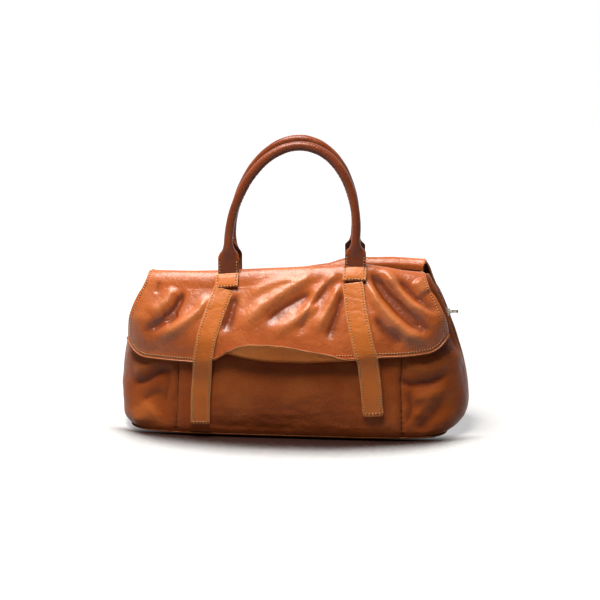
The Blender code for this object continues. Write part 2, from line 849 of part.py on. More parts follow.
def zip_path():
    """The zip's middle line in X and Z, from the right stop over the top to the left stop."""
    top = zip_top()
    heights = [ZIP_LOW - TAPE_END, *np.linspace(ZIP_LOW, ZIP_BEND, 8)]
    run = np.array([(zip_line(z), 0, z) for z in heights])
    end = np.array([ring(LAST_RING)[1] - ZIP_TOP_END / 2, 0, top])
    control = np.array([zip_line(top), 0, top])
    corner = bend(run[-1], control, end, 6)
    middle = np.array([(x, 0, top) for x in np.linspace(end[0], 0, 8)[1:]])
    half = np.concatenate([run, corner, middle])
    other = (half * np.array([-1, 1, 1]))[-2::-1]
    path = np.concatenate([half, other])
    path[:, 0] += lean(path[:, 2])
    return path


def row_offsets(path):
    """How far each zip row stands from the middle: closed under the slider, apart over the top."""
    closed = ZIP_CLOSED_GAP / 2 + ZIP_BEAD_RADIUS
    wide = ZIP_MOUTH_GAP / 2 + ZIP_BEAD_RADIUS
    steps = np.linalg.norm(np.diff(path, axis=0), axis=1)
    along = np.concatenate([[0], np.cumsum(steps)])
    start = along[int(np.argmax(path[:, 2] > SLIDER_HEIGHT + SLIDER_LENGTH / 2))]
    share = np.clip((along - start) / (along[-1] - start), 0, 1)
    swell = np.sin(np.clip(share / MOUTH_RUN_SHARE, 0, 1) * math.pi) ** MOUTH_SWELL_SHARE
    return closed + (wide - closed) * swell


def hidden_margin(place, right, reach):
    """A point behind the leather's edge by the zip, on the wall's inner side."""
    return skin(place, mark_y(place, ring(place)[5] + reach, right), -(PANEL_WALL + GAP))


def top_margin(point):
    """The tape's hidden edge over the top, drawn in under the leather at the two corners."""
    corner_share = (zip_top() - point[2]) / (zip_top() - ZIP_BEND)
    bend = hidden_margin(ring_at_height(ZIP_BEND), True, TAPE_UNDER_LEATHER)
    pull = (zip_line(ZIP_BEND) + lean(ZIP_BEND) - bend[0]) * math.sqrt(corner_share)
    x = math.copysign(max(abs(point[0]) - pull, 0), point[0])
    y = -ZIP_OPENING / 2 * RING_SHARES[-1][4] - TAPE_UNDER_LEATHER
    return np.array([x, y, point[2] - TAPE_WALL * 2 * corner_share])


def tape_row(point, offset):
    """One row across the front tape: tooth line, end of the flat for the slider, margin."""
    flat = ZIP_BEAD_RADIUS + SLIDER_CLEARANCE * 2 + SLIDER_FLANGE
    inner = point - np.array([0, offset, 0])
    side = inner - np.array([0, flat, 0])
    if point[2] > ZIP_BEND:
        under = top_margin(point)
        return [inner, side, (side + under) / 2, under]
    place = ring_at_height(point[2])
    edge = hidden_margin(place, point[0] > 0, 0)
    if edge[1] > side[1] - GAP:
        edge = side - np.array([0, GAP, 0])
    return [inner, side, edge, hidden_margin(place, point[0] > 0, TAPE_UNDER_LEATHER)]


def tape_grid():
    """The front tape, from the tooth line to under the leather's edge, along the whole zip."""
    path = zip_path()
    return np.array([tape_row(*pair) for pair in zip(path, row_offsets(path))])


def add_zip(tape, teeth, parts):
    """Both tapes with their tooth rows."""
    path = zip_path()
    offsets = row_offsets(path)
    grid = tape_grid()[:, ::-1]
    sheet("front_zip_tape", grid, TAPE_WALL, tape, parts, flip=True)
    sheet("rear_zip_tape", mirrored(grid), TAPE_WALL, tape, parts)
    lift = ZIP_BEAD_RADIUS + GAP
    tangent = np.gradient(path, axis=0)
    tangent /= np.linalg.norm(tangent, axis=1)[:, None]
    outward = np.stack([tangent[:, 2], 0 * tangent[:, 0], -tangent[:, 0]], axis=1)
    centre = path + outward * lift
    inner = slice(1, len(path) - 1)
    for side, sign in (("front", -1), ("rear", 1)):
        row = centre + np.stack([0 * offsets, sign * offsets, 0 * offsets], axis=1)
        tube(f"{side}_zip_teeth", row[inner], ZIP_BEAD_RADIUS, 1, teeth, parts)


def slider_frame():
    """Matrix from slider axes (down the zip, rearward, outward) to the bag, at the zip's line."""
    low, high = [zip_line(z) + lean(z) for z in (ZIP_LOW, ZIP_BEND)]
    down = Vector((low - high, 0, ZIP_LOW - ZIP_BEND)).normalized()
    rearward = Vector((0, 1, 0))
    outward = down.cross(rearward)
    outward = outward if outward.x > 0 else -outward
    rearward = outward.cross(down)
    turn = Matrix((down, rearward, outward)).transposed().to_4x4()
    place = zip_line(SLIDER_HEIGHT) + lean(SLIDER_HEIGHT)
    return Matrix.Translation((place, 0, SLIDER_HEIGHT)) @ turn


def box_part(shape, low, high):
    """Adds a closed box to a bmesh and returns its vertices."""
    size = Vector(high) - Vector(low)
    middle = (Vector(high) + Vector(low)) / 2
    matrix = Matrix.Translation(middle) @ Matrix.Diagonal((*size, 1))
    return bmesh.ops.create_cube(shape, size=1, matrix=matrix)["verts"]


def box_object(name, low, high, target, frame):
    """A closed box as its own object, in slider axes."""
    shape = bmesh.new()
    box_part(shape, low, high)
    mesh = bpy.data.meshes.new(name)
    shape.to_mesh(mesh)
    shape.free()
    mesh.transform(frame)
    obj = bpy.data.objects.new(name, mesh)
    target.objects.link(obj)
    obj.location = FRAME_SHIFT
    obj.hide_render = True
    obj.display_type = "WIRE"
    return obj


def add_slider(metal, parts, helpers):
    """The slider: two plates joined by a neck between the rows, with a crown for the pull."""
    frame = slider_frame()
    half = SLIDER_LENGTH / 2
    rows_out = ZIP_CLOSED_GAP / 2 + 2 * ZIP_BEAD_RADIUS + SLIDER_CLEARANCE / 2
    wide = rows_out + SLIDER_FLANGE
    under = TAPE_WALL + SLIDER_CLEARANCE
    over = GAP + 2 * ZIP_BEAD_RADIUS + SLIDER_CLEARANCE
    top = over + SLIDER_PLATE
    mesh = bpy.data.meshes.new("zip_slider")
    shape = bmesh.new()
    box_part(shape, (-half, -wide, over), (half, wide, top))
    shape.to_mesh(mesh)
    shape.free()
    mesh.transform(frame)
    origin = frame.translation
    slider = new_object("zip_slider", mesh, metal, parts, origin)
    bite = SLIDER_PLATE / 3
    lower = box_object(
        "slider_lower_plate",
        (-half, -wide, -under - SLIDER_PLATE),
        (half, wide, -under),
        helpers,
        frame,
    )
    neck = box_object(
        "slider_neck",
        (-half, -SLIDER_NECK / 2, -under - bite),
        (-half / 2, SLIDER_NECK / 2, over + bite),
        helpers,
        frame,
    )
    joined = [lower, neck]
    for sign in (-1, 1):
        edges = sorted((sign * wide, sign * (wide - SLIDER_FLANGE)))
        joined.append(
            box_object(
                f"slider_flange_{'front' if sign < 0 else 'rear'}",
                (-half / 4, edges[0], GAP * 2),
                (half, edges[1], over + bite),
                helpers,
                frame,
            )
        )
    crown = box_object(
        "slider_crown",
        (-CROWN_LENGTH / 2, -CROWN_WIDTH / 2, top - bite),
        (CROWN_LENGTH / 2, CROWN_WIDTH / 2, top + CROWN_HEIGHT),
        helpers,
        frame,
    )
    joined.append(crown)
    for piece in reversed(joined):
        boolean(slider, piece, "UNION")
    hole = pull_centre()
    shape = bmesh.new()
    across = Matrix.Translation((0, 0, hole)) @ Matrix.Rotation(math.pi / 2, 4, "X")
    bmesh.ops.create_cone(
        shape, cap_ends=True, segments=CROWN_HOLE_SIDES, radius1=CROWN_HOLE_RADIUS,
        radius2=CROWN_HOLE_RADIUS, depth=CROWN_WIDTH + CUT_OVERRUN, matrix=across,
    )
    drill = bpy.data.meshes.new("crown_hole")
    shape.to_mesh(drill)
    shape.free()
    drill.transform(frame)
    cutter = bpy.data.objects.new("crown_hole", drill)
    helpers.objects.link(cutter)
    cutter.location = FRAME_SHIFT
    cutter.hide_render = True
    cutter.display_type = "WIRE"
    boolean(slider, cutter)


def pull_centre():
    """How far the pull's bar stands out from the zip's line."""
    over = GAP + 2 * ZIP_BEAD_RADIUS + SLIDER_CLEARANCE + SLIDER_PLATE
    return over + CROWN_HEIGHT / 2


def add_pull(metal, parts):
    """The pull: a flat metal tab whose eye hangs on the slider's crown."""
    frame = slider_frame()
    curve = bpy.data.curves.new("zip_pull", "CURVE")
    curve.dimensions = "2D"
    curve.fill_mode = "BOTH"
    curve.extrude = PULL_THICKNESS / 2
    half = PULL_WIDTH / 2
    outline = [(-PULL_BAR / 2, -half), (-PULL_BAR / 2, half)]
    tip = PULL_LENGTH - half
    for step in range(9):
        turn = math.pi / 2 - math.pi * step / 8
        outline.append((tip + half * math.cos(turn), half * math.sin(turn)))
    eye_half = half - PULL_BAR
    eye = [
        (PULL_BAR / 2, -eye_half),
        (PULL_EYE, -eye_half),
        (PULL_EYE, eye_half),
        (PULL_BAR / 2, eye_half),
    ]
    for loop in (outline, eye):
        spline = curve.splines.new("POLY")
        spline.points.add(len(loop) - 1)
        for target, point in zip(spline.points, loop):
            target.co = (*point, 0, 1)
        spline.use_cyclic_u = True
    stand = Matrix((Vector((0, 0, 1)), Vector((0, 1, 0)), Vector((-1, 0, 0)))).transposed()
    centre = Matrix.Translation((0, 0, pull_centre()))
    curve.transform(frame @ centre @ stand.to_4x4())
    origin = (frame @ centre).translation
    new_object("zip_pull", curve, metal, parts, origin)


def add_bottom_stop(metal, parts):
    """The metal stop that closes the zip's lower end."""
    frame = slider_frame()
    shape = bmesh.new()
    across = ZIP_CLOSED_GAP / 2 + 2 * ZIP_BEAD_RADIUS
    run = (SLIDER_HEIGHT - ZIP_LOW) / abs(frame.col[0].z)
    box_part(
        shape,
        (run + GAP * 2, -across, GAP),
        (run + GAP * 2 + STOP_LENGTH, across, GAP + STOP_HEIGHT),
    )
    mesh = bpy.data.meshes.new("zip_bottom_stop")
    shape.to_mesh(mesh)
    shape.free()
    mesh.transform(frame)
    new_object("zip_bottom_stop", mesh, metal, parts)


def main():
    """Builds the bag."""
    clear_scene()
    parts = collection(COLLECTION)
    helpers = collection(HELPERS)
    leather = material("tan_leather", TAN, LEATHER_ROUGHNESS)
    dark = material("handle_leather", DARK_TAN, LEATHER_ROUGHNESS)
    fabric = material("lining_fabric", LINING_BROWN, CLOTH_ROUGHNESS)
    board = material("fibre_board", BOARD_GREY, CLOTH_ROUGHNESS)
    tape = material("zip_tape", TAPE_BROWN, CLOTH_ROUGHNESS)
    coil = material("zip_coil", TAPE_BROWN, METAL_ROUGHNESS)
    metal = material("zip_metal", METAL, METAL_ROUGHNESS, 1)
    add_walls(leather, parts)
    add_base(leather, board, parts)
    add_feet(metal, parts)
    add_lining(fabric, parts)
    add_yokes(leather, parts)
    add_tabs(leather, parts)
    add_flap(leather, leather, parts)
    add_straps(leather, leather, parts)
    add_handles(dark, board, parts)
    add_zip(tape, coil, parts)
    add_slider(metal, parts, helpers)
    add_pull(metal, parts)
    add_bottom_stop(metal, parts)


main()
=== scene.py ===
"""Soft leather satchel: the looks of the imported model.

A front flap with a curled hem, two sewn straps, two rolled handles and a zip between two humps.
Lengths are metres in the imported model's frame. Soft pieces are grids of points on their outer
face, shaped in code as a sculptor would, and then given their wall.
"""

import functools
import logging
import math
from dataclasses import dataclass
from enum import Enum

import bpy
import numpy as np
from mathutils import Matrix, Vector, noise


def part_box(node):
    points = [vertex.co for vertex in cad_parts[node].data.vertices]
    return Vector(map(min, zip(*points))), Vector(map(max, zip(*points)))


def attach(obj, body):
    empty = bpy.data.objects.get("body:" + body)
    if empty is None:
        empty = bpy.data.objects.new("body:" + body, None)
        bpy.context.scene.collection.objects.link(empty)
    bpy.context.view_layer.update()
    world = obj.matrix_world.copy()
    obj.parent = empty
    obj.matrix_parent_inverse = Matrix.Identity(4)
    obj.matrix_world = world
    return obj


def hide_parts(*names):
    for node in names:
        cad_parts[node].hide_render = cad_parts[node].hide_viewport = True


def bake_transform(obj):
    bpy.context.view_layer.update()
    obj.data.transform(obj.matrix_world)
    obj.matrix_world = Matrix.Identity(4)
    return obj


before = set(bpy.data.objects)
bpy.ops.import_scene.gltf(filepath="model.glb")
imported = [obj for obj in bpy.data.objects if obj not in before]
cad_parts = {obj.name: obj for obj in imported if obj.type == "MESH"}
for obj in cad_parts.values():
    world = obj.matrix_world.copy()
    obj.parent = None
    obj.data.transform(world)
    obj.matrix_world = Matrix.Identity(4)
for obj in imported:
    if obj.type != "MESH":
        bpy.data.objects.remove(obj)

LOG = logging.getLogger("satchel")
MM = 0.001
REAR_SHIFT = -4.0 * MM
SHIFT = np.array([-0.0012, 0.0025, 0.0])


class Body(Enum):
    """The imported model's moving bodies."""

    BAG = "bag"
    FLAP = "flap"
    LEFT_STRAP = "left_strap"
    RIGHT_STRAP = "right_strap"
    FRONT_HANDLE = "front_handle"
    REAR_HANDLE = "rear_handle"
    PULL = "pull"


class Slot(Enum):
    """The record's material slots."""

    BODY = "body_leather"
    FLAP = "flap_leather"
    HANDLE = "handle_leather"
    LINING = "lining_fabric"
    TAPE = "zip_tape"
    COIL = "zip_coil"
    METAL = "zip_metal"
    CORE = "handle_core"


class Side(Enum):
    """Front or rear, as the sign of Y."""

    FRONT = -1
    REAR = 1

    @property
    def label(self) -> str:
        """The word that names of pieces start with."""
        return self.name.lower()


Array = np.ndarray
Triple = tuple[float, float, float]
Table = tuple[tuple[float, float], ...]
Line = tuple[Array, Array]
Pattern = tuple[Array, list]
Adder = functools.partial
Socket = bpy.types.NodeSocket
Finishes = tuple[bpy.types.Material, ...]


# Numbers and grids


def smoothstep(low: float, high: float, value: Array | float) -> Array:
    """Runs smoothly from 0 at low to 1 at high.

    Args:
        low: Where it starts. It may be above high.
        high: Where it ends.
        value: The numbers to place between them.

    Returns:
        The smooth shares.
    """
    share = np.clip((np.asarray(value, float) - low) / (high - low), 0, 1)
    return share * share * (3 - 2 * share)


def table_mm(pairs: Table, x: Array) -> Array:
    """Reads a table of (x, value) pairs in millimetres at x in metres, and gives metres."""
    keys, values = np.array(pairs, float).T
    return np.interp(x, keys * MM, values * MM)


def lumps(points: Array, size: float, seed: float) -> Array:
    """Smooth lumps from -1 to 1.

    Args:
        points: Points, in any shape that ends in 3.
        size: How wide a lump is, in metres.
        seed: Moves the pattern, so that pieces differ.

    Returns:
        One number for each point.
    """
    flat = points.reshape(-1, 3) / size + seed
    values = [noise.noise(Vector(p)) for p in flat]
    return np.array(values).reshape(points.shape[:-1])


def unit(vectors: Array) -> Array:
    """The same directions, made one long."""
    return vectors / np.maximum(np.linalg.norm(vectors, axis=-1, keepdims=True), 1e-12)


def lengths_along(points: Array) -> Array:
    """How far along a line each of its points lies."""
    return np.concatenate([[0], np.cumsum(np.linalg.norm(np.diff(points, axis=0), axis=1))])


def sampled(marks: Array, lengths: Array, values: Array) -> Array:
    """A line's points or directions, read at lengths along it."""
    return np.stack([np.interp(marks, lengths, values[:, k]) for k in range(3)], axis=-1)


def copied(
    pattern: Pattern, spots: Array, axes: tuple[Array, ...]
) -> Pattern:
    """Copies one modelled shape to many places.

    Args:
        pattern: The shape's points and faces.
        spots: Where each copy goes.
        axes: For each copy, what its X, Y and Z become.

    Returns:
        All points and all faces.
    """
    points, faces = pattern
    turned = sum(axis[:, None] * points[None, :, k : k + 1] for k, axis in enumerate(axes))
    starts = np.arange(len(spots)) * len(points)
    all_faces = [tuple(start + v for v in face) for start in starts.tolist() for face in faces]
    return (spots[:, None] + turned).reshape(-1, 3), all_faces


@dataclass(frozen=True)
class Fold:
    """One crease or ridge of soft leather, on the face that it shows on.

    Args:
        path: Its line in X and Z, in millimetres.
        depth: How far it stands out, or goes in where negative, in millimetres.
        width: How wide it is, in millimetres.
    """

    path: Table
    depth: float
    width: float

    def relief(self, x: Array, z: Array) -> Array:
        """How far the fold moves the leather out, in metres.

        Args:
            x: Places across, in metres.
            z: Heights, in metres.

        Returns:
            The distances out.
        """
        corners = np.array(self.path, float) * MM
        lengths = np.linalg.norm(np.diff(corners, axis=0), axis=1)
        total, start = lengths.sum(), 0.0
        near = np.full(np.shape(x), 1.0)
        share = np.zeros(np.shape(x))
        for a, b, length in zip(corners[:-1], corners[1:], lengths):
            run = (b - a) / length
            along = np.clip((x - a[0]) * run[0] + (z - a[1]) * run[1], 0, length)
            gap = np.hypot(x - a[0] - run[0] * along, z - a[1] - run[1] * along)
            closer = gap < near
            near = np.where(closer, gap, near)
            share = np.where(closer, (start + along) / total, share)
            start += length
        taper = smoothstep(0, 0.22, share) * smoothstep(1, 0.7, share)
        sharpness = 2.0 if self.depth > 0 else 1.5
        spread = self.width * MM * (0.75 + 0.5 * share)
        return self.depth * MM * taper * np.exp(-((near / spread) ** sharpness))


def fold_relief(folds: tuple[Fold, ...], x: Array, z: Array) -> Array:
    """The sum of several folds, in metres."""
    return sum((fold.relief(x, z) for fold in folds), np.zeros(np.shape(x)))


class Patch:
    """A sheet's outer face: rows go up and columns to the right, as seen from outside."""

    def __init__(self, points: Array, relief: Array | None = None) -> None:
        """Keeps the grid of points and how far each is sculpted out."""
        self.points = np.asarray(points, float)
        self.relief = np.zeros(self.points.shape[:2]) if relief is None else relief

    def normals(self) -> Array:
        """The outward direction at each point."""
        across = np.gradient(self.points, axis=1)
        up = np.gradient(self.points, axis=0)
        return unit(np.cross(across, up))

    def edge_distance(self) -> Array:
        """How far each point is from the nearest border, along its row or column."""
        nearest = np.full(self.points.shape[:2], np.inf)
        for axis in (0, 1):
            steps = np.linalg.norm(np.diff(self.points, axis=axis), axis=2)
            pad = [(1, 0), (0, 0)] if axis == 0 else [(0, 0), (1, 0)]
            along = np.pad(np.cumsum(steps, axis=axis), pad)
            total = along[-1:] if axis == 0 else along[:, -1:]
            nearest = np.minimum(nearest, np.minimum(along, total - along))
        return nearest

    def moved(self, distance: Array | float) -> "Patch":
        """The patch moved out by a distance, or by one for each point."""
        spread = np.broadcast_to(distance, self.points.shape[:2])[..., None]
        return Patch(self.points + self.normals() * spread, self.relief)

    def sculpted(self, relief: Array) -> "Patch":
        """The patch moved out by a relief that its material also reads, to paint highlight on
        ridges and shade in hollows.
        """
        return Patch(self.moved(relief).points, self.relief + relief)

    def mirrored(self) -> "Patch":
        """The same patch on the other side of the bag, facing out."""
        return Patch((self.points * [1, -1, 1])[:, ::-1], self.relief[:, ::-1])

    def trimmed(self, margin: float) -> "Patch":
        """The patch with its four borders cut back by a margin."""
        points = self.points.copy()
        views = (points, points[::-1], points.swapaxes(0, 1), points.swapaxes(0, 1)[::-1])
        for view in views:
            step = view[1] - view[0]
            length = np.maximum(np.linalg.norm(step, axis=1, keepdims=True), 1e-9)
            view[0] += step * np.minimum(margin / length, 0.9)
        return Patch(points, self.relief)

    def rolled(self, depth: float, reach: float) -> "Patch":
        """The patch with its borders rolled off, as a burnished edge is."""
        drop = depth * np.exp(-self.edge_distance() / reach)
        return self.moved(-drop)

    def turned_down(self, reach: float, steps: int = 9) -> "Patch":
        """The patch with its top border carried on and turned straight down.

        Args:
            reach: How far it goes past the border.
            steps: How many rows that takes.

        Returns:
            The longer patch.
        """
        heading = unit(self.points[-1] - self.points[-3])
        rows = [self.points[-1]]
        for k in range(1, steps + 1):
            share = min(k / 4, 1)
            step = unit(heading * (1 - share) + np.array([0, 0, -1]) * share)
            rows.append(rows[-1] + step * reach / steps)
        plain = np.zeros((steps, self.points.shape[1]))
        return Patch(np.concatenate([self.points, rows[1:]]), np.concatenate([self.relief, plain]))

    def at(self, row: Array | float, column: Array | float) -> Line:
        """Points and outward directions at fractional rows and columns.

        Args:
            row: Row numbers, from the lowest, or one for all.
            column: Column numbers, from the left, or one for all.

        Returns:
            The points and the directions.
        """
        rows, columns = self.points.shape[:2]
        row, column = np.broadcast_arrays(
            np.clip(row, 0, rows - 1.001), np.clip(column, 0, columns - 1.001)
        )
        r, c = np.floor(row).astype(int), np.floor(column).astype(int)
        fr, fc = (row - r)[..., None], (column - c)[..., None]
        found = []
        for grid in (self.points, self.normals()):
            low = grid[r, c] * (1 - fc) + grid[r, c + 1] * fc
            high = grid[r + 1, c] * (1 - fc) + grid[r + 1, c + 1] * fc
            found.append(low * (1 - fr) + high * fr)
        return found[0], found[1]

    def box(self, first: float, last: float, inset: float, count: int) -> list[Line]:
        """Three seam lines: up both sides, and across between them.

        Args:
            first: The row that the sides start from, where the line across runs.
            last: The row that they end at.
            inset: How many columns in they run.
            count: Points on each side.

        Returns:
            The left side, the right side and the line across.
        """
        up, right = np.linspace(first, last, count), self.points.shape[1] - 1 - inset
        across = np.linspace(inset, right, 30)
        return [self.at(up, inset), self.at(up, right), self.at(first, across)]


# The bag's skin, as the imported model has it


@dataclass(frozen=True)
class BagForm:
    """The sizes that the soft body is drawn from, the same as in the part's source."""

    width: float = 0.4165
    depth: float = 0.154
    height: float = 0.194
    bottom: float = 0.0051
    right_sag: float = 0.0040
    right_tuck: float = 0.0110
    lean: float = 0.0045
    zip_opening: float = 0.030
    gap: float = 0.0004
    seam_low: float = 0.134
    seam_high: float = 0.128
    crest: float = 11.5
    fold: float = 9.2
    inner: float = 12.7
    last: int = 13
    ring_shares: tuple[tuple[float, ...], ...] = (
        (0.000, 0.940, 0.950, 5.0, 0.00),
        (0.041, 0.975, 0.975, 4.2, 0.00),
        (0.104, 0.996, 0.992, 3.4, 0.00),
        (0.177, 1.000, 1.000, 2.9, 0.30),
        (0.275, 0.998, 0.990, 2.7, 0.50),
        (0.400, 0.985, 0.950, 2.6, 0.78),
        (0.534, 0.960, 0.870, 2.7, 0.98),
        (0.668, 0.925, 0.740, 3.0, 1.00),
        (0.793, 0.885, 0.580, 3.8, 0.97),
        (0.896, 0.845, 0.445, 5.0, 0.92),
        (0.962, 0.815, 0.375, 6.0, 0.86),
        (1.000, 0.797, 0.305, 7.0, 0.82),
        (1.000, 0.780, 0.235, 8.0, 0.80),
        (0.971, 0.762, 0.175, 10.0, 0.78),
    )


class Skin:
    """The body's outer face before it sags, ring by ring from the base to the zip."""

    SAMPLES = 720

    def __init__(self, form: BagForm) -> None:
        """Prepares the heights of the rings."""
        self.form = form
        self.places = np.linspace(0, form.crest - 1, self.SAMPLES)
        rings = np.array([self.ring(float(p)) for p in self.places])
        self.heights = rings[:, 0]
        self.columns = rings[:, 1:5].T

    @functools.lru_cache(maxsize=None)
    def ring(self, place: float) -> tuple[float, float, float, float, float, float]:
        """The ring at a fractional number.

        Args:
            place: 0 at the base and 13 at the zip.

        Returns:
            Height, left and right half width, half depth, squareness and half zip opening.
        """
        form, rows = self.form, np.array(self.form.ring_shares)
        place = min(max(place, 0), len(rows) - 1)
        k = min(int(place), len(rows) - 2)
        f = place - k
        before, after = rows[max(k - 1, 0)], rows[min(k + 2, len(rows) - 1)]
        low, high = rows[k], rows[k + 1]
        curve = 2 * low + (high - before) * f
        curve = curve + (2 * before - 5 * low + 4 * high - after) * f**2
        curve = (curve + (3 * low - before - 3 * high + after) * f**3) / 2
        height, width, depth, square, opening = (float(v) for v in curve)
        knee = form.ring_shares[3][0]
        left = form.width / 2 * width
        right = left + form.right_sag * max(0, 1 - abs(height - knee) * 2)
        right -= form.right_tuck * max(0, 1 - height / knee) ** 2
        z = form.bottom + (form.height - form.bottom) * height
        cut = max(form.gap / 2, form.zip_opening / 2 * opening)
        return z, left, right, form.depth / 2 * depth, square, cut

    def lean(self, z: Array | float) -> Array:
        """How far the body leans to the left at a height."""
        form = self.form
        return -form.lean * (np.asarray(z) - form.bottom) / (form.height - form.bottom)

    def place_at(self, z: Array | float) -> Array:
        """The ring number below the crest at a height."""
        return np.interp(z, self.heights, self.places)

    def section(self, z: Array) -> list[Array]:
        """Left and right half width, half depth and squareness at heights below the crest."""
        place = self.place_at(z)
        return [np.interp(place, self.places, column) for column in self.columns]

    @functools.lru_cache(maxsize=None)
    def outline(self, place: float) -> Line:
        """The front half of a ring from its right end to its left end, and its lengths."""
        z, left, right, depth, square, _ = self.ring(place)
        angle = np.linspace(0, math.pi, self.SAMPLES + 1)
        across, deep = np.cos(angle), np.sin(angle)
        width = np.where(across > 0, right, left)
        x = self.lean(z) + width * np.sign(across) * np.abs(across) ** (2 / square)
        y = -depth * np.abs(deep) ** (2 / square)
        points = np.stack([x, y, np.full_like(x, z)], axis=1)
        return points, lengths_along(points)

    def row(self, place: float, marks: Array) -> Array:
        """Points at lengths along a ring's front half."""
        points, lengths = self.outline(place)
        return sampled(marks, lengths, points)

    def mark_x(self, place: float, x: Array | float) -> Array:
        """The lengths along the outline to where it crosses x."""
        points, lengths = self.outline(place)
        return np.interp(-np.asarray(x), -points[:, 0], lengths)

    def mark_y(self, place: float, y: float, right: bool) -> float:
        """The length along the outline to where it leaves an end by the depth y."""
        points, lengths = self.outline(place)
        half = len(points) // 2
        if right:
            return float(np.interp(y, -points[: half + 1, 1], lengths[: half + 1]))
        return float(np.interp(-y, points[half:, 1], lengths[half:]))

    def round_marks(self, place: float, cut: float, count: int) -> Array:
        """Lengths along the outline from the left end to the right one, cut short by a depth."""
        left, right = self.mark_y(place, cut, False), self.mark_y(place, cut, True)
        return np.linspace(left, right, count)

    def seam_x(self, place: float) -> float:
        """How far the upright seams stand from the middle at a ring."""
        form = self.form
        rise = min(place / form.crest, 1)
        return form.seam_low + (form.seam_high - form.seam_low) * rise

    def point(self, place: float, length: float, out: float = 0.0) -> Array:
        """A point of the front half, or one that stands out from it."""
        here = self.row(place, np.array(length))
        if not out:
            return here
        step = self.form.width / self.SAMPLES
        total = self.outline(place)[1][-1]
        high, low = min(place + 0.04, self.form.last), max(place - 0.04, 0)
        up = self.row(high, np.array(length / total * self.outline(high)[1][-1]))
        up = up - self.row(low, np.array(length / total * self.outline(low)[1][-1]))
        along = self.row(place, np.array(min(length + step, total)))
        along = along - self.row(place, np.array(max(length - step, 0)))
        normal = np.cross(up, along)
        return here + out * normal / np.linalg.norm(normal)


@dataclass(frozen=True)
class Settle:
    """How the soft leather has sunk over the two humps, in millimetres by X."""

    front: Table = (
        (-210, -9), (-170, -8), (-95, -7.5), (-68, -5), (0, -1), (40, 1.5), (75, 4.5), (95, 3),
        (133, -3), (165, -6), (210, -7),
    )
    rear: Table = (
        (-210, -17), (-160, -17), (-75, -14), (0, -9.5), (40, -3), (58, 3), (75, 5), (120, 5.5),
        (156, 4.5), (170, -7), (210, -8),
    )
    low: float = 0.112
    high: float = 0.186
    slider_clear: tuple[float, float] = (0.164, 0.182)
    slider_reach: tuple[float, float] = (0.019, 0.011)

    def drop(self, x: Array, y: Array) -> Array:
        """How far the hump's top has sunk at a place, in metres."""
        front, rear = table_mm(self.front, x), table_mm(self.rear, x)
        share = smoothstep(-0.006, 0.006, y)
        return front * (1 - share) + rear * share

    def applied(self, points: Array) -> Array:
        """The points, sunk with the leather that they lie on."""
        x, y, z = points[..., 0], points[..., 1], points[..., 2]
        weight = smoothstep(self.low, self.high, z)
        near_slider = smoothstep(*self.slider_clear, x) * smoothstep(*self.slider_reach, np.abs(y))
        weight = weight * (1 - near_slider)
        moved = points.copy()
        moved[..., 2] += self.drop(x, y) * weight
        return moved

    def settled(self, patch: Patch) -> Patch:
        """The patch, sunk, with its relief kept."""
        return Patch(self.applied(patch.points), patch.relief)


# Finishes


def linear(hex_colour: str) -> tuple[float, float, float, float]:
    """A colour written as sRGB hex, in the linear numbers that a shader takes."""
    shares = [int(hex_colour[k : k + 2], 16) / 255 for k in (1, 3, 5)]
    return (*(((s + 0.055) / 1.055) ** 2.4 if s > 0.04045 else s / 12.92 for s in shares), 1.0)


def add_node(
    tree: bpy.types.NodeTree, kind: str, inputs: dict | None = None,
    stops: tuple[tuple[float, str], ...] = (), **settings: object,
) -> bpy.types.Node:
    """Adds a shader node with its settings, its values and its links.

    Args:
        tree: The node tree.
        kind: The node's type, without its first words.
        inputs: For each socket, by name or number, a value, or the socket or node that feeds it.
        stops: A colour ramp's places and sRGB hex colours, from the lowest.
        settings: The node's own properties.

    Returns:
        The new node.
    """
    node = tree.nodes.new(f"ShaderNode{kind}")
    for key, value in settings.items():
        setattr(node, key, value)
    for key, value in (inputs or {}).items():
        if isinstance(value, bpy.types.Node):
            value = value.outputs[0]
        if isinstance(value, Socket):
            tree.links.new(value, node.inputs[key])
        else:
            node.inputs[key].default_value = value
    if stops:
        elements = node.color_ramp.elements
        for _ in stops[2:]:
            elements.new(0.5)
        for element, (place, colour) in zip(elements, stops):
            element.position, element.color = place, linear(colour)
    return node


def emptied(owner: bpy.types.Material | bpy.types.World) -> Adder:
    """Empties the node tree of a material or a world, and gives what adds a node to it."""
    owner.use_nodes = True
    owner.node_tree.nodes.clear()
    return functools.partial(add_node, owner.node_tree)


@dataclass(frozen=True)
class Finish:
    """A real material. Each kind of it says in looks() what it gives the eye."""

    name: str
    colour: str
    deep: str

    def looks(self, add: Adder, place: Socket) -> dict:
        """What feeds the surface shader.

        Args:
            add: Adds a node to this material's tree.
            place: Object coordinates.

        Returns:
            A value, node or socket for each of the shader's sockets.
        """
        raise NotImplementedError

    def build(self) -> bpy.types.Material:
        """Makes the material."""
        material = bpy.data.materials.new(self.name)
        add = emptied(material)
        looks = self.looks(add, add("TexCoord").outputs["Object"])
        add("OutputMaterial", {"Surface": add("BsdfPrincipled", looks)})
        return material


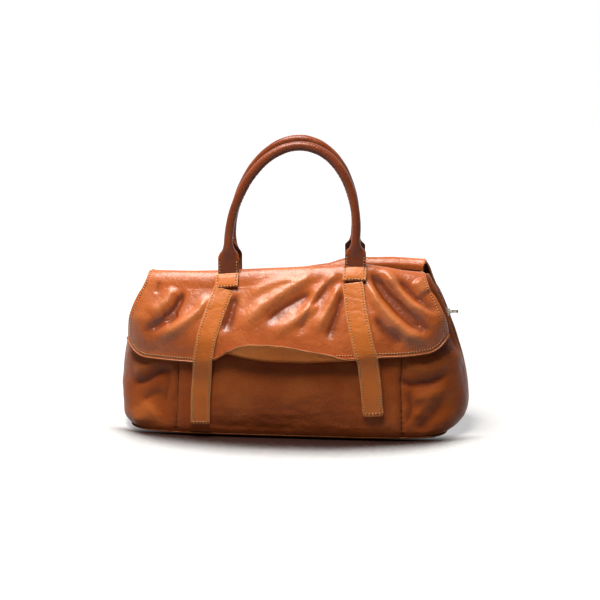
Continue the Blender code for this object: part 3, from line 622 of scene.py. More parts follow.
@dataclass(frozen=True)
class Leather(Finish):
    """Aniline calf leather: dyed through, milled soft, plated and lightly waxed.

    It shows a fine pebbled grain, cloudy dye and paler rubbed edges, and a broad soft gloss with a
    little clear wax on top. Its colour also holds painted light: a painted highlight on the ridges
    of folds, and painted shade in their hollows and in the creases between the pebbles.
    """

    pale: str
    grain_mm: float = 1.1
    grain_depth_mm: float = 0.055
    roughness: float = 0.38
    wax: float = 0.08
    gloss: float = 0.2

    def looks(self, add: Adder, place: Socket) -> dict:
        """Pebbles, pores and milled softness, cloudy dye, paler rubbed edges, and painted highlight
        on ridges and painted shade in hollows and pebble creases.
        """
        wobble = add("TexNoise", {"Vector": place, "Scale": 320.0, "Detail": 2.0}).outputs["Color"]
        shift = add("VectorMath", {0: wobble, 1: (0.0009,) * 3}, operation="MULTIPLY")
        warped = add("VectorMath", {0: place, 1: shift}, operation="ADD")
        pattern = {"Vector": warped, "Scale": 1 / (self.grain_mm * MM)}
        cells = add("TexVoronoi", pattern, feature="SMOOTH_F1")
        pores, clouds, mill = (
            add("TexNoise", {"Vector": place, "Scale": scale, "Detail": detail,
                             "Roughness": rough, "Distortion": twist})
            for scale, detail, rough, twist in (
                (2600.0, 3.0, 0.6, 0.0), (24.0, 4.0, 0.55, 0.0), (150.0, 3.0, 0.6, 0.8),
            )
        )
        stops = ((0.28, self.deep), (0.50, self.colour), (0.74, self.pale))
        dye = add("ValToRGB", {"Fac": clouds}, stops)
        tint = add("Mix", {"Factor": 0.28, "A": linear(self.colour), "B": dye}, data_type="RGBA")
        relief, wear = (
            add("Attribute", attribute_name=name).outputs["Fac"] for name in ("relief", "wear")
        )
        rubbed = add("Math", {0: wear, 1: mill}, operation="MULTIPLY")
        # Painted highlight on ridges, painted shade in hollows, paler rubbed edges from wear, and
        # painted shade in the creases between the pebbles, in that order.
        for value, low, high, most, colour in (
            (relief, 0.1, 1.0, 0.35, self.pale), (relief, -0.1, -0.85, 0.8, self.deep),
            (rubbed, 0.0, 1.0, 1.0, self.pale), (cells, 0.35, 0.75, 0.30, self.deep),
        ):
            share = add(
                "MapRange", {"Value": value, "From Min": low, "From Max": high, "To Max": most}
            )
            inputs = {"Factor": share, "A": tint.outputs["Result"], "B": linear(colour)}
            tint = add("Mix", inputs, data_type="RGBA")
        polish = add("MapRange", {
            "Value": mill, "From Min": 0.3, "From Max": 0.7,
            "To Min": self.roughness - 0.05, "To Max": self.roughness + 0.09,
        })
        soft = add("Bump", {"Height": mill, "Strength": 0.8, "Distance": 0.8 * MM})
        depth = self.grain_depth_mm * MM
        grain = add(
            "Bump", {"Height": cells, "Strength": 0.9, "Distance": depth, "Normal": soft},
            invert=True,
        )
        return {
            "Base Color": tint.outputs["Result"], "Roughness": polish, "IOR": 1.45,
            "Normal": add("Bump", {"Height": pores, "Strength": 0.4, "Distance": 0.02 * MM,
                                   "Normal": grain}),
            "Specular IOR Level": self.gloss, "Coat Weight": self.wax, "Coat Roughness": 0.24,
            "Coat IOR": 1.4,
        }


@dataclass(frozen=True)
class Suede(Finish):
    """The flesh side or the cut edge of leather: napped fibres, no gloss, paler than the grain."""

    fibre_mm: float = 0.35
    roughness: float = 0.78

    def looks(self, add: Adder, place: Socket) -> dict:
        """Fibres, in soft clouds."""
        fibres = add("TexNoise", {"Vector": place, "Scale": 1 / (self.fibre_mm * MM),
                                  "Detail": 4.0, "Roughness": 0.7})
        clouds = add("TexNoise", {"Vector": place, "Scale": 60.0, "Detail": 2.0})
        mixed = add("Math", {0: fibres, 1: clouds}, operation="MULTIPLY")
        return {
            "Base Color": add("ValToRGB", {"Fac": mixed}, ((0.14, self.deep), (0.36, self.colour))),
            "Normal": add("Bump", {"Height": fibres, "Strength": 0.7, "Distance": 0.12 * MM}),
            "Roughness": self.roughness, "Sheen Weight": 0.15, "Sheen Roughness": 0.5,
        }


@dataclass(frozen=True)
class Weave(Finish):
    """Plain-woven cotton or polyester: crossing threads, matt, with a faint sheen."""

    thread_mm: float

    def looks(self, add: Adder, place: Socket) -> dict:
        """Crossing threads, drawn coarser than real ones, so that they show."""
        inputs = {"Vector": place, "Scale": 0.05 / (self.thread_mm * MM), "Distortion": 0.3}
        x, y, z = (add("TexWave", inputs, bands_direction=axis).outputs["Fac"] for axis in "XYZ")
        either = add("Math", {0: x, 1: y}, operation="MAXIMUM")
        crossed = add("Math", {0: either, 1: z}, operation="MULTIPLY")
        return {
            "Base Color": add("ValToRGB", {"Fac": crossed}, ((0.1, self.deep), (0.8, self.colour))),
            "Normal": add("Bump", {"Height": crossed, "Strength": 0.6, "Distance": 0.15 * MM}),
            "Roughness": 0.82, "Sheen Weight": 0.25, "Sheen Roughness": 0.45,
        }


@dataclass(frozen=True)
class Nickel(Finish):
    """Die-cast zinc alloy, tumbled and plated in dull nickel: soft edges and fine scuffs."""

    roughness: float = 0.28

    def looks(self, add: Adder, place: Socket) -> dict:
        """Scuffs, which are darker and rougher."""
        scuffs = add("TexNoise", {"Vector": place, "Scale": 900.0, "Detail": 4.0,
                                  "Distortion": 1.2})
        return {
            "Base Color": add("ValToRGB", {"Fac": scuffs}, ((0.3, self.deep), (0.6, self.colour))),
            "Normal": add("Bump", {"Height": scuffs, "Strength": 0.25, "Distance": 0.05 * MM}),
            "Metallic": 1.0,
            "Roughness": add("MapRange", {
                "Value": scuffs, "From Min": 0.35, "From Max": 0.7,
                "To Min": self.roughness - 0.06, "To Max": self.roughness + 0.14,
            }),
        }


@dataclass(frozen=True)
class Filament(Finish):
    """Bonded nylon thread or extruded nylon coil: smooth, slightly waxy, with a fine twist."""

    roughness: float = 0.45

    def looks(self, add: Adder, place: Socket) -> dict:
        """Fine strands."""
        fine = add("TexNoise", {"Vector": place, "Scale": 1500.0, "Detail": 2.0})
        return {
            "Base Color": add("ValToRGB", {"Fac": fine}, ((0.35, self.deep), (0.6, self.colour))),
            "Normal": add("Bump", {"Height": fine, "Strength": 0.4, "Distance": 0.05 * MM}),
            "Roughness": self.roughness, "IOR": 1.53,
        }


class Palette:
    """Every finish on the bag, built once."""

    def __init__(self) -> None:
        """Builds the materials."""
        # The walls' calf is painted darker than the same hide on the flap and straps: painted shade
        # on the walls, which face away from the overhead lamp.
        self.calf = Leather("calf_leather_milled", "#a75120", "#6a2a0c", "#cf7b3e").build()
        # The flap's leather, which also dresses the rear yoke, is painted lighter than the walls'
        # calf: painted light where it faces the lamp.
        self.flap = Leather(
            "calf_leather_flap", "#bf612a", "#6c2a0c", "#e29258", roughness=0.30, wax=0.16,
            gloss=0.45,
        ).build()
        # The straps' leather, which also makes the keepers, is painted lighter than the walls'
        # calf: painted light where it faces the lamp.
        self.strap = Leather(
            "calf_leather_strap", "#cf712c", "#9c4b18", "#eaa366",
            grain_mm=0.8, grain_depth_mm=0.035, roughness=0.35, gloss=0.34,
        ).build()
        self.handle = Leather(
            "calf_leather_handle", "#7f3814", "#4f200b", "#b3663c",
            grain_mm=0.9, grain_depth_mm=0.05, roughness=0.32, gloss=0.36,
        ).build()
        # The facing is painted lighter still: painted light bounced up into the curled hem, whose
        # face shows.
        self.facing = Leather(
            "calf_leather_facing", "#dd7c30", "#a9521d", "#e8a061",
            grain_mm=0.7, grain_depth_mm=0.02, roughness=0.40, gloss=0.35,
        ).build()
        self.flesh = Suede("calf_leather_flesh_side", "#8a5a38", "#5b3720").build()
        self.cut = Suede("calf_leather_painted_edge", "#b9713f", "#8a4a22", fibre_mm=0.6).build()
        self.dark_cut = Suede("calf_leather_dark_edge", "#6c3517", "#45200d", fibre_mm=0.6).build()
        self.lining = Weave("cotton_twill_lining", "#7c5c46", "#4b3527", thread_mm=0.7).build()
        self.tape = Weave("polyester_zip_tape", "#6b3220", "#3c1910", thread_mm=0.5).build()
        self.cord = Weave("cotton_cord_core", "#b7a68c", "#81735d", thread_mm=0.9).build()
        self.board = Suede("fibre_board_pressed", "#7d7468", "#5b544b", fibre_mm=1.2).build()
        self.coil = Filament("nylon_zip_coil", "#6e3421", "#471d12", roughness=0.36).build()
        self.thread = Filament("nylon_sewing_thread", "#edb57c", "#d0904f").build()
        # A dark grain in each needle hole: painted shade.
        self.hole = Suede("needle_hole_shadow", "#2c1206", "#180903", fibre_mm=0.5).build()
        self.nickel = Nickel("zinc_alloy_nickel_plated", "#b9b2a6", "#8f887c").build()
        # Darker nickel for the pull's rolled end: painted shade at that end of the one cast piece.
        self.dark_nickel = Nickel("zinc_alloy_antiqued", "#5d554b", "#8f887c", 0.34).build()

    def hide(self, face: bpy.types.Material, dark: bool = False) -> Finishes:
        """A leather's outer face, its flesh side and its painted edge."""
        return face, self.flesh, self.dark_cut if dark else self.cut

    def backing(self) -> Finishes:
        """The facing leather, glued flesh side in, and its painted edge."""
        return self.facing, self.facing, self.cut


# Making objects


def deselect() -> None:
    """Deselects everything, so that an operator acts on the new piece alone."""
    bpy.ops.object.select_all(action="DESELECT")


def activate(obj: bpy.types.Object) -> None:
    """Makes a piece the only one selected, and the active one."""
    deselect()
    obj.select_set(True)
    bpy.context.view_layer.objects.active = obj


def apply_modifier(obj: bpy.types.Object, kind: str, **settings: object) -> None:
    """Adds a modifier with its settings and applies it."""
    activate(obj)
    modifier = obj.modifiers.new(kind.lower(), kind)
    for key, value in settings.items():
        setattr(modifier, key, value)
    bpy.ops.object.modifier_apply(modifier=modifier.name)


def smooth(obj: bpy.types.Object, degrees: float = 50) -> None:
    """Smooth shading, but for edges sharper than an angle."""
    activate(obj)
    bpy.ops.object.shade_smooth_by_angle(angle=math.radians(degrees))


def grid_object(name: str, points: Array) -> bpy.types.Object:
    """A grid primitive whose corners are moved to the points.

    Args:
        name: The new object's name.
        points: Rows up and columns to the right, in bag coordinates.

    Returns:
        The new object, which is active.
    """
    deselect()
    rows, columns = points.shape[:2]
    bpy.ops.mesh.primitive_grid_add(x_subdivisions=columns - 1, y_subdivisions=rows - 1, size=1)
    obj = bpy.context.active_object
    obj.name = obj.data.name = name
    obj.data.vertices.foreach_set("co", (points + SHIFT).astype(np.float32).ravel())
    obj.data.update()
    return obj


def ball(segments: int, rings: int) -> Pattern:
    """A ball to shape and copy: its points and its faces."""
    deselect()
    bpy.ops.mesh.primitive_uv_sphere_add(segments=segments, ring_count=rings, radius=1)
    obj = bpy.context.active_object
    points = np.array([v.co for v in obj.data.vertices])
    faces = [tuple(p.vertices) for p in obj.data.polygons]
    bpy.data.objects.remove(obj, do_unlink=True)
    return points, faces


def mesh_object(
    name: str, points: Array, faces: list, finish: bpy.types.Material
) -> bpy.types.Object:
    """An object from copies of one modelled shape, already in their places."""
    mesh = bpy.data.meshes.new(name)
    mesh.from_pydata((points + SHIFT).tolist(), [], faces)
    mesh.update()
    obj = bpy.data.objects.new(name, mesh)
    bpy.context.scene.collection.objects.link(obj)
    obj.data.materials.append(finish)
    smooth(obj, 60)
    return obj


@dataclass(frozen=True)
class FoldLine:
    """Where soft leather starts and ends to bend across a joint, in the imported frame."""

    start: Triple
    end: Triple


def settle_in(
    obj: bpy.types.Object, body: Body, slot: Slot, *nodes: str, fold: FoldLine | None = None
) -> bpy.types.Object:
    """Hides the CAD nodes that a piece stands for and, without a fold, parents it to the body that
    it moves with.

    Args:
        obj: The finished piece.
        body: The body that it rides on; where a fold is given, it is only named in the log.
        slot: The record's material slot. Not used.
        nodes: CAD nodes that it replaces.
        fold: A bend line between the bag and that body, whose points are not read; when one is
            given, the piece's transform is baked in and it is parented to nothing.

    Returns:
        The same piece.
    """
    if nodes:
        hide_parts(*nodes)
    if fold is None:
        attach(obj, body.value)
    else:
        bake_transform(obj)
    LOG.info("%s: %d faces, on %s", obj.name, len(obj.data.polygons), body.value)
    return obj


def sheet_object(
    name: str, patch: Patch, wall: float, finishes: Finishes, body: Body, slot: Slot,
    *nodes: str, fold: FoldLine | None = None,
) -> bpy.types.Object:
    """A leather or cloth sheet with its wall behind the outer face.

    Args:
        name: The new object's name.
        patch: Its outer face.
        wall: Its thickness.
        finishes: The outer face's material, the hidden face's and the cut edge's.
        body: As for settle_in, with the next three.
        slot: The record's material slot.
        nodes: CAD nodes that it replaces.
        fold: A bend line, as for settle_in.

    Returns:
        The new object.
    """
    obj = grid_object(name, patch.points)
    # relief drives the leather's painted highlight on ridges and painted shade in hollows; wear
    # marks the paler rubbed edges.
    values = {"relief": np.clip(patch.relief / (3.0 * MM), -1, 1),
              "wear": np.exp(-patch.edge_distance() / (1.2 * MM))}
    for key, numbers in values.items():
        attribute = obj.data.attributes.new(key, "FLOAT", "POINT")
        attribute.data.foreach_set("value", numbers.astype(np.float32).ravel())
    for finish in finishes:
        obj.data.materials.append(finish)
    apply_modifier(
        obj, "SOLIDIFY", thickness=wall, offset=-1, use_even_offset=False,
        material_offset=1, material_offset_rim=len(finishes) - 1,
    )
    smooth(obj)
    return settle_in(obj, body, slot, *nodes, fold=fold)


@dataclass
class Soft:
    """What a soft sub-assembly is drawn from."""

    skin: Skin
    settle: Settle
    palette: Palette


# Sewing


class Sewing:
    """Saddle stitches: one modelled stitch and one dark grain that paints the shade in a needle
    hole, copied along seam lines.
    """

    PITCH = 3.3 * MM
    LENGTH = 2.1 * MM
    WIDTH = 1.15 * MM
    HOLE = 1.7 * MM

    def __init__(self, palette: Palette) -> None:
        """Models the stitch and the needle hole's painted shade once, and keeps their points."""
        self.palette = palette
        self.stitch = self._grain(8, 6, (self.LENGTH / 2, self.WIDTH / 2, self.WIDTH / 2.2))
        self.hole = self._grain(6, 3, (self.HOLE / 2, self.HOLE / 2, self.HOLE / 5))

    @staticmethod
    def _grain(segments: int, rings: int, size: Triple) -> Pattern:
        """A small rounded grain, lying along X."""
        points, faces = ball(segments, rings)
        return points[:, [2, 1, 0]] * size, [face[::-1] for face in faces]

    @staticmethod
    def _along(line: Line, pitch: float) -> tuple[Array, Array, Array]:
        """Evenly spaced places on a line, with the directions along it and out of the leather."""
        points, normals = line
        lengths = lengths_along(points)
        count = max(int(lengths[-1] / pitch), 1)
        marks = (np.arange(count) + 0.5) * lengths[-1] / count
        near = 0.6 * MM
        along = sampled(marks + near, lengths, points) - sampled(marks - near, lengths, points)
        along, out = unit(along), sampled(marks, lengths, normals)
        out -= along * np.sum(along * out, axis=1, keepdims=True)
        return sampled(marks, lengths, points), along, unit(out)

    def sew(
        self, name: str, runs: list[Line], tilt: float = 0.12, pitch: float = PITCH
    ) -> bpy.types.Object:
        """Sews several lines as one piece.

        Args:
            name: The new object's name.
            runs: For each line, its points and the outward directions.
            tilt: How far a stitch slants, in radians.
            pitch: The distance from stitch to stitch.

        Returns:
            The new object, with the thread and the painted shade of its needle holes.
        """
        parts: list[Pattern] = []
        for line in runs:
            spots, along, out = self._along(line, pitch)
            across = np.cross(out, along)
            long = along * math.cos(tilt) + across * math.sin(tilt)
            lifted = spots + out * self.WIDTH * 0.12
            parts.append(copied(self.stitch, lifted, (long, np.cross(out, long), out)))
            # A dark grain between stitches: painted shade in the needle hole.
            parts.append(copied(self.hole, spots + along * pitch / 2, (along, across, out)))
        faces, finish, offset = [], [], 0
        for k, (placed, part_faces) in enumerate(parts):
            faces += [tuple(v + offset for v in face) for face in part_faces]
            finish += [k % 2] * len(part_faces)
            offset += len(placed)
        points = np.concatenate([placed for placed, _ in parts])
        obj = mesh_object(name, points, faces, self.palette.thread)
        obj.data.materials.append(self.palette.hole)
        obj.data.polygons.foreach_set("material_index", finish)
        return obj


# Body


BODY_FOLDS = (
    Fold(((-192, 54), (-172, 62), (-156, 74), (-138, 80)), -3.4, 4.5),
    Fold(((-190, 70), (-168, 80), (-150, 92)), 2.0, 8),
    Fold(((-180, 34), (-164, 46), (-146, 54)), -1.6, 5),
    Fold(((-190, 8), (-170, 22), (-158, 34)), 2.6, 10),
    Fold(((-148, 36), (-143, 60), (-139, 86)), -1.4, 3.5),
    Fold(((122, 76), (142, 67), (164, 68), (192, 78)), -3.4, 4.2),
    Fold(((134, 90), (158, 84), (192, 92)), 1.6, 7),
    Fold(((140, 50), (164, 52), (190, 64)), 1.8, 7),
    Fold(((148, 12), (166, 28), (184, 50)), -2.0, 7),
    Fold(((146, 26), (158, 40), (172, 48)), 1.2, 5),
    Fold(((138, 18), (144, 40), (140, 64)), -1.6, 4),
    Fold(((-110, 18), (-40, 12), (60, 14)), -0.8, 9),
    Fold(((-60, 66), (0, 58), (70, 66)), 0.9, 20),
    Fold(((-96, 60), (-104, 44), (-100, 26)), -1.0, 7),
)
REAR_FOLDS = (
    Fold(((-180, 120), (-150, 96), (-128, 82)), -2.4, 7),
    Fold(((-184, 92), (-160, 70), (-140, 60)), 2.2, 9),
    Fold(((176, 128), (150, 108), (120, 98)), -2.4, 7),
    Fold(((180, 100), (158, 80), (138, 60)), 2.0, 9),
    Fold(((-80, 168), (-96, 140), (-118, 118)), -1.8, 8),
    Fold(((-66, 160), (-50, 130), (-20, 112)), 1.7, 9),
    Fold(((78, 166), (98, 138), (126, 120)), -1.8, 8),
    Fold(((66, 160), (48, 128), (12, 108)), 1.6, 9),
    Fold(((-90, 22), (0, 16), (90, 22)), -1.0, 10),
    Fold(((-60, 84), (0, 76), (70, 84)), 1.2, 22),
)


@dataclass
class BodyWalls(Soft):
    """The six soft wall panels, the rounded base and the lining."""

    wall: float = 2.0 * MM
    rows: int = 96
    middle_columns: int = 150
    end_columns: int = 60
    seam_depth: float = 2.4 * MM
    seam_reach: float = 1.7 * MM
    hem_depth: float = 1.3 * MM
    hem_reach: float = 2.4 * MM
    under_flap: float = 4.4 * MM
    lining_inset: float = 8.0 * MM

    def _places(self) -> Array:
        """Ring numbers from the base to the zip, closest over the hump."""
        low = np.linspace(0, 8, self.rows * 3 // 5, endpoint=False)
        return np.concatenate([low, np.linspace(8, 13, self.rows * 2 // 5)])

    def _grid(self, marks: "functools.partial") -> Patch:
        """A panel between two marks for each ring, columns from left to right."""
        rows = [self.skin.row(float(p), marks(float(p))[::-1]) for p in self._places()]
        return Patch(np.array(rows))

    def _middle(self, place: float) -> Array:
        """Marks from the right upright seam to the left one."""
        skin = self.skin
        edge = skin.seam_x(place) - skin.form.gap / 2
        return np.linspace(skin.mark_x(place, edge), skin.mark_x(place, -edge), self.middle_columns)

    def _end(self, place: float, right: bool) -> Array:
        """Marks of an end panel, from right to left as the others."""
        skin, side = self.skin, 1 if right else -1
        seam = skin.mark_x(place, (skin.seam_x(place) + skin.form.gap / 2) * side)
        edge = skin.mark_y(place, skin.ring(place)[5], right)
        marks = np.linspace(edge, seam, self.end_columns)
        return marks if right else marks[::-1]

    def _seam_relief(self, patch: Patch, left: bool, right: bool) -> Array:
        """The dip beside a sewn seam, with the small puckers that the stitches draw in."""
        steps = np.linalg.norm(np.diff(patch.points, axis=1), axis=2)
        along = np.pad(np.cumsum(steps, axis=1), [(0, 0), (1, 0)])
        dip = np.zeros(patch.points.shape[:2])
        pucker = 1 + 0.25 * np.sin(patch.points[..., 2] / (3.3 * MM) * math.pi)
        for wanted, distance in ((left, along), (right, along[:, -1:] - along)):
            if wanted:
                dip -= self.seam_depth * np.exp(-distance / self.seam_reach) * pucker
                dip += 0.5 * MM * np.exp(-(((distance - 7 * MM) / (4 * MM)) ** 2))
        bottom = patch.points[..., 2] - self.skin.form.bottom
        return dip - self.hem_depth * np.exp(-bottom / self.hem_reach)

    def _softened(self, patch: Patch, side: Side, seed: float, seams: tuple[bool, bool]) -> Patch:
        """The panel with its seams, folds and soft lumps, sunk with the humps."""
        x, y, z = (patch.points[..., k] for k in range(3))
        free = smoothstep(0.010, 0.024, np.abs(y)) * smoothstep(0.004, 0.016, z)
        relief = self._seam_relief(patch, *seams)
        folds = BODY_FOLDS if side is Side.FRONT else REAR_FOLDS
        shape = fold_relief(folds, x, z) * 1.15
        shape += 1.0 * MM * lumps(patch.points, 62 * MM, seed)
        shape += 0.35 * MM * lumps(patch.points * [1, 1, 0.6], 17 * MM, seed + 5)
        ends = smoothstep(0.150, 0.200, np.abs(x))
        crumple = lumps(patch.points * [0.5, 1, 1.6], 30 * MM, seed + 9)
        shape += ends * 1.9 * MM * crumple
        shape += 0.4 * MM * lumps(patch.points * [0.7, 1, 1.9], 13 * MM, seed + 13)
        if side is Side.FRONT:
            tucked = smoothstep(0.096, 0.114, z) * smoothstep(0.190, 0.176, z)
            shape = shape * (1 - tucked * 0.8) - self.under_flap * tucked
        over = smoothstep(0.165, 0.180, z)
        shape = shape * (1 - 0.75 * over) - 1.0 * MM * over * free
        return self.settle.settled(patch.sculpted(relief + shape * free))

    def build(self) -> None:
        """Makes the walls, the base and the lining."""
        panels = (
            ("panel", self._middle, (True, True)),
            ("right_panel", functools.partial(self._end, right=True), (True, False)),
            ("left_panel", functools.partial(self._end, right=False), (False, True)),
        )
        for seed, (name, marks, seams) in enumerate(panels):
            flat = self._grid(marks)
            for side, label, bulk, turned in (
                (Side.FRONT, "front", flat, seams),
                (Side.REAR, "back", flat.mirrored(), seams[::-1]),
            ):
                soft = self._softened(bulk, side, seed * 3.7 + side.value, turned)
                sheet_object(
                    f"soft_{label}_{name}", soft, self.wall, self.palette.hide(self.palette.calf),
                    Body.BAG, Slot.BODY, f"{label}_{name}",
                )
        self._base()
        self._lining()

    def _base(self) -> None:
        """The base leather: its turned edge meets the walls in a groove, and it sags a little."""
        box_low, box_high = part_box("base_panel")
        half = self.skin.outline(0.0)[0][::6]
        ring = np.concatenate([half, (half * [1, -1, 1])[-2:0:-1]])
        ring = np.concatenate([ring, ring[:1]])[::-1]
        insets = (0.0, 0.0, 0.3, 0.9, 1.8, 3.2, 6.0, 14.0, 40.0, 73.2)
        drops = (0.1, 0.6, 1.2, 1.7, 2.0, 2.1, 2.1, 1.9, 1.7, 1.7)
        deepest = np.abs(half[:, 1]).max()
        rows = []
        for inset, drop in zip(insets, drops):
            x, y = ring[:, 0], ring[:, 1] * max(1 - min(inset * MM / deepest, 1), 0.0)
            x = x - np.sign(x) * np.minimum(np.abs(x), inset * MM)
            rows.append(np.stack([x, y, np.full_like(x, box_high.z - drop * MM)], axis=1))
        patch = Patch(np.maximum(np.array(rows)[::-1], [-1, -1, box_low.z]))
        obj = sheet_object(
            "soft_base", patch, 1.4 * MM, self.palette.hide(self.palette.calf), Body.BAG,
            Slot.BODY, "base_panel",
        )
        apply_modifier(obj, "WELD", merge_threshold=0.02 * MM)

    def _lining(self) -> None:
        """The twill lining, which hangs in soft waves inside the walls."""
        rows = []
        for place in np.linspace(0.6, 10.4, 64).tolist():
            cut = self.skin.ring(place)[5] + 3 * MM
            rows.append(self.skin.row(place, self.skin.round_marks(place, cut, 190)))
        flat = Patch(np.array(rows))
        wave = 1.6 * MM * lumps(flat.points * [1, 1, 0.35], 26 * MM, 31.0)
        inset = self.lining_inset * smoothstep(0.0, 0.012, flat.points[..., 2])
        front = self.settle.settled(flat.moved(wave - inset))
        finish = (0.5 * MM, (self.palette.lining,) * 2)
        place = (Body.BAG, Slot.LINING, "lining")
        for label, patch, wall in (
            ("front", front, "soft_front_panel"), ("rear", front.mirrored(), "soft_back_panel")
        ):
            obj = sheet_object(f"lining_{label}", patch, *finish, *place)
        # The floor joins the two hanging cloths over the board.
        low, shares = front.points[0], np.linspace(0, 1, 40)[:, None, None]
        points = low[None] * (1 - shares) + (low * [1, -1, 1])[None] * shares
        points[..., 2] += 0.4 * MM * lumps(points, 40 * MM, 3.0)
        obj = sheet_object("lining_floor", Patch(points), *finish, *place)


# Flap


FLAP_FOLDS = (
    Fold(((-125, 178), (-134, 157), (-139, 146), (-160, 129), (-177, 119)), -4.5, 6.0),
    Fold(((-132, 148), (-149, 139)), -2.5, 7.0),
    Fold(((-95, 173), (-108, 150), (-125, 134), (-159, 113)), 3.0, 7.0),
    Fold(((-138, 181), (-148, 162), (-168, 143)), 2.2, 7.0),
    Fold(((-157, 186), (-160, 170)), -1.0, 3.0),
    Fold(((-64, 172), (-70, 143), (-78, 121)), -3.0, 6.0),
    Fold(((29, 190), (-7, 171), (-34, 154), (-62, 128)), 3.2, 8.0),
    Fold(((30, 171), (-7, 153), (-32, 133)), -2.6, 7.0),
    Fold(((36, 158), (9, 140), (-25, 123)), 2.0, 6.0),
    Fold(((8, 187), (-36, 176), (-55, 162)), 1.8, 6.0),
    Fold(((56, 192), (31, 167), (12, 132)), 3.2, 6.0),
    Fold(((51, 186), (27, 155), (8, 121)), -3.0, 5.0),
    Fold(((59, 178), (46, 153), (29, 124)), 2.4, 5.0),
    Fold(((63, 172), (55, 145), (43, 115)), -2.4, 5.0),
    Fold(((87, 184), (102, 160), (120, 142), (139, 126), (166, 116)), 4.0, 6.5),
    Fold(((89, 193), (107, 173), (129, 154), (155, 135), (173, 131)), -5.6, 7.5),
    Fold(((106, 197), (121, 181), (142, 162), (174, 146)), 3.8, 6.0),
    Fold(((120, 191), (137, 175), (158, 159), (176, 150)), -3.2, 6.0),
    Fold(((146, 190), (158, 173)), 2.4, 8.0),
    Fold(((98, 146), (112, 130), (136, 114)), -2.8, 6.0),
)


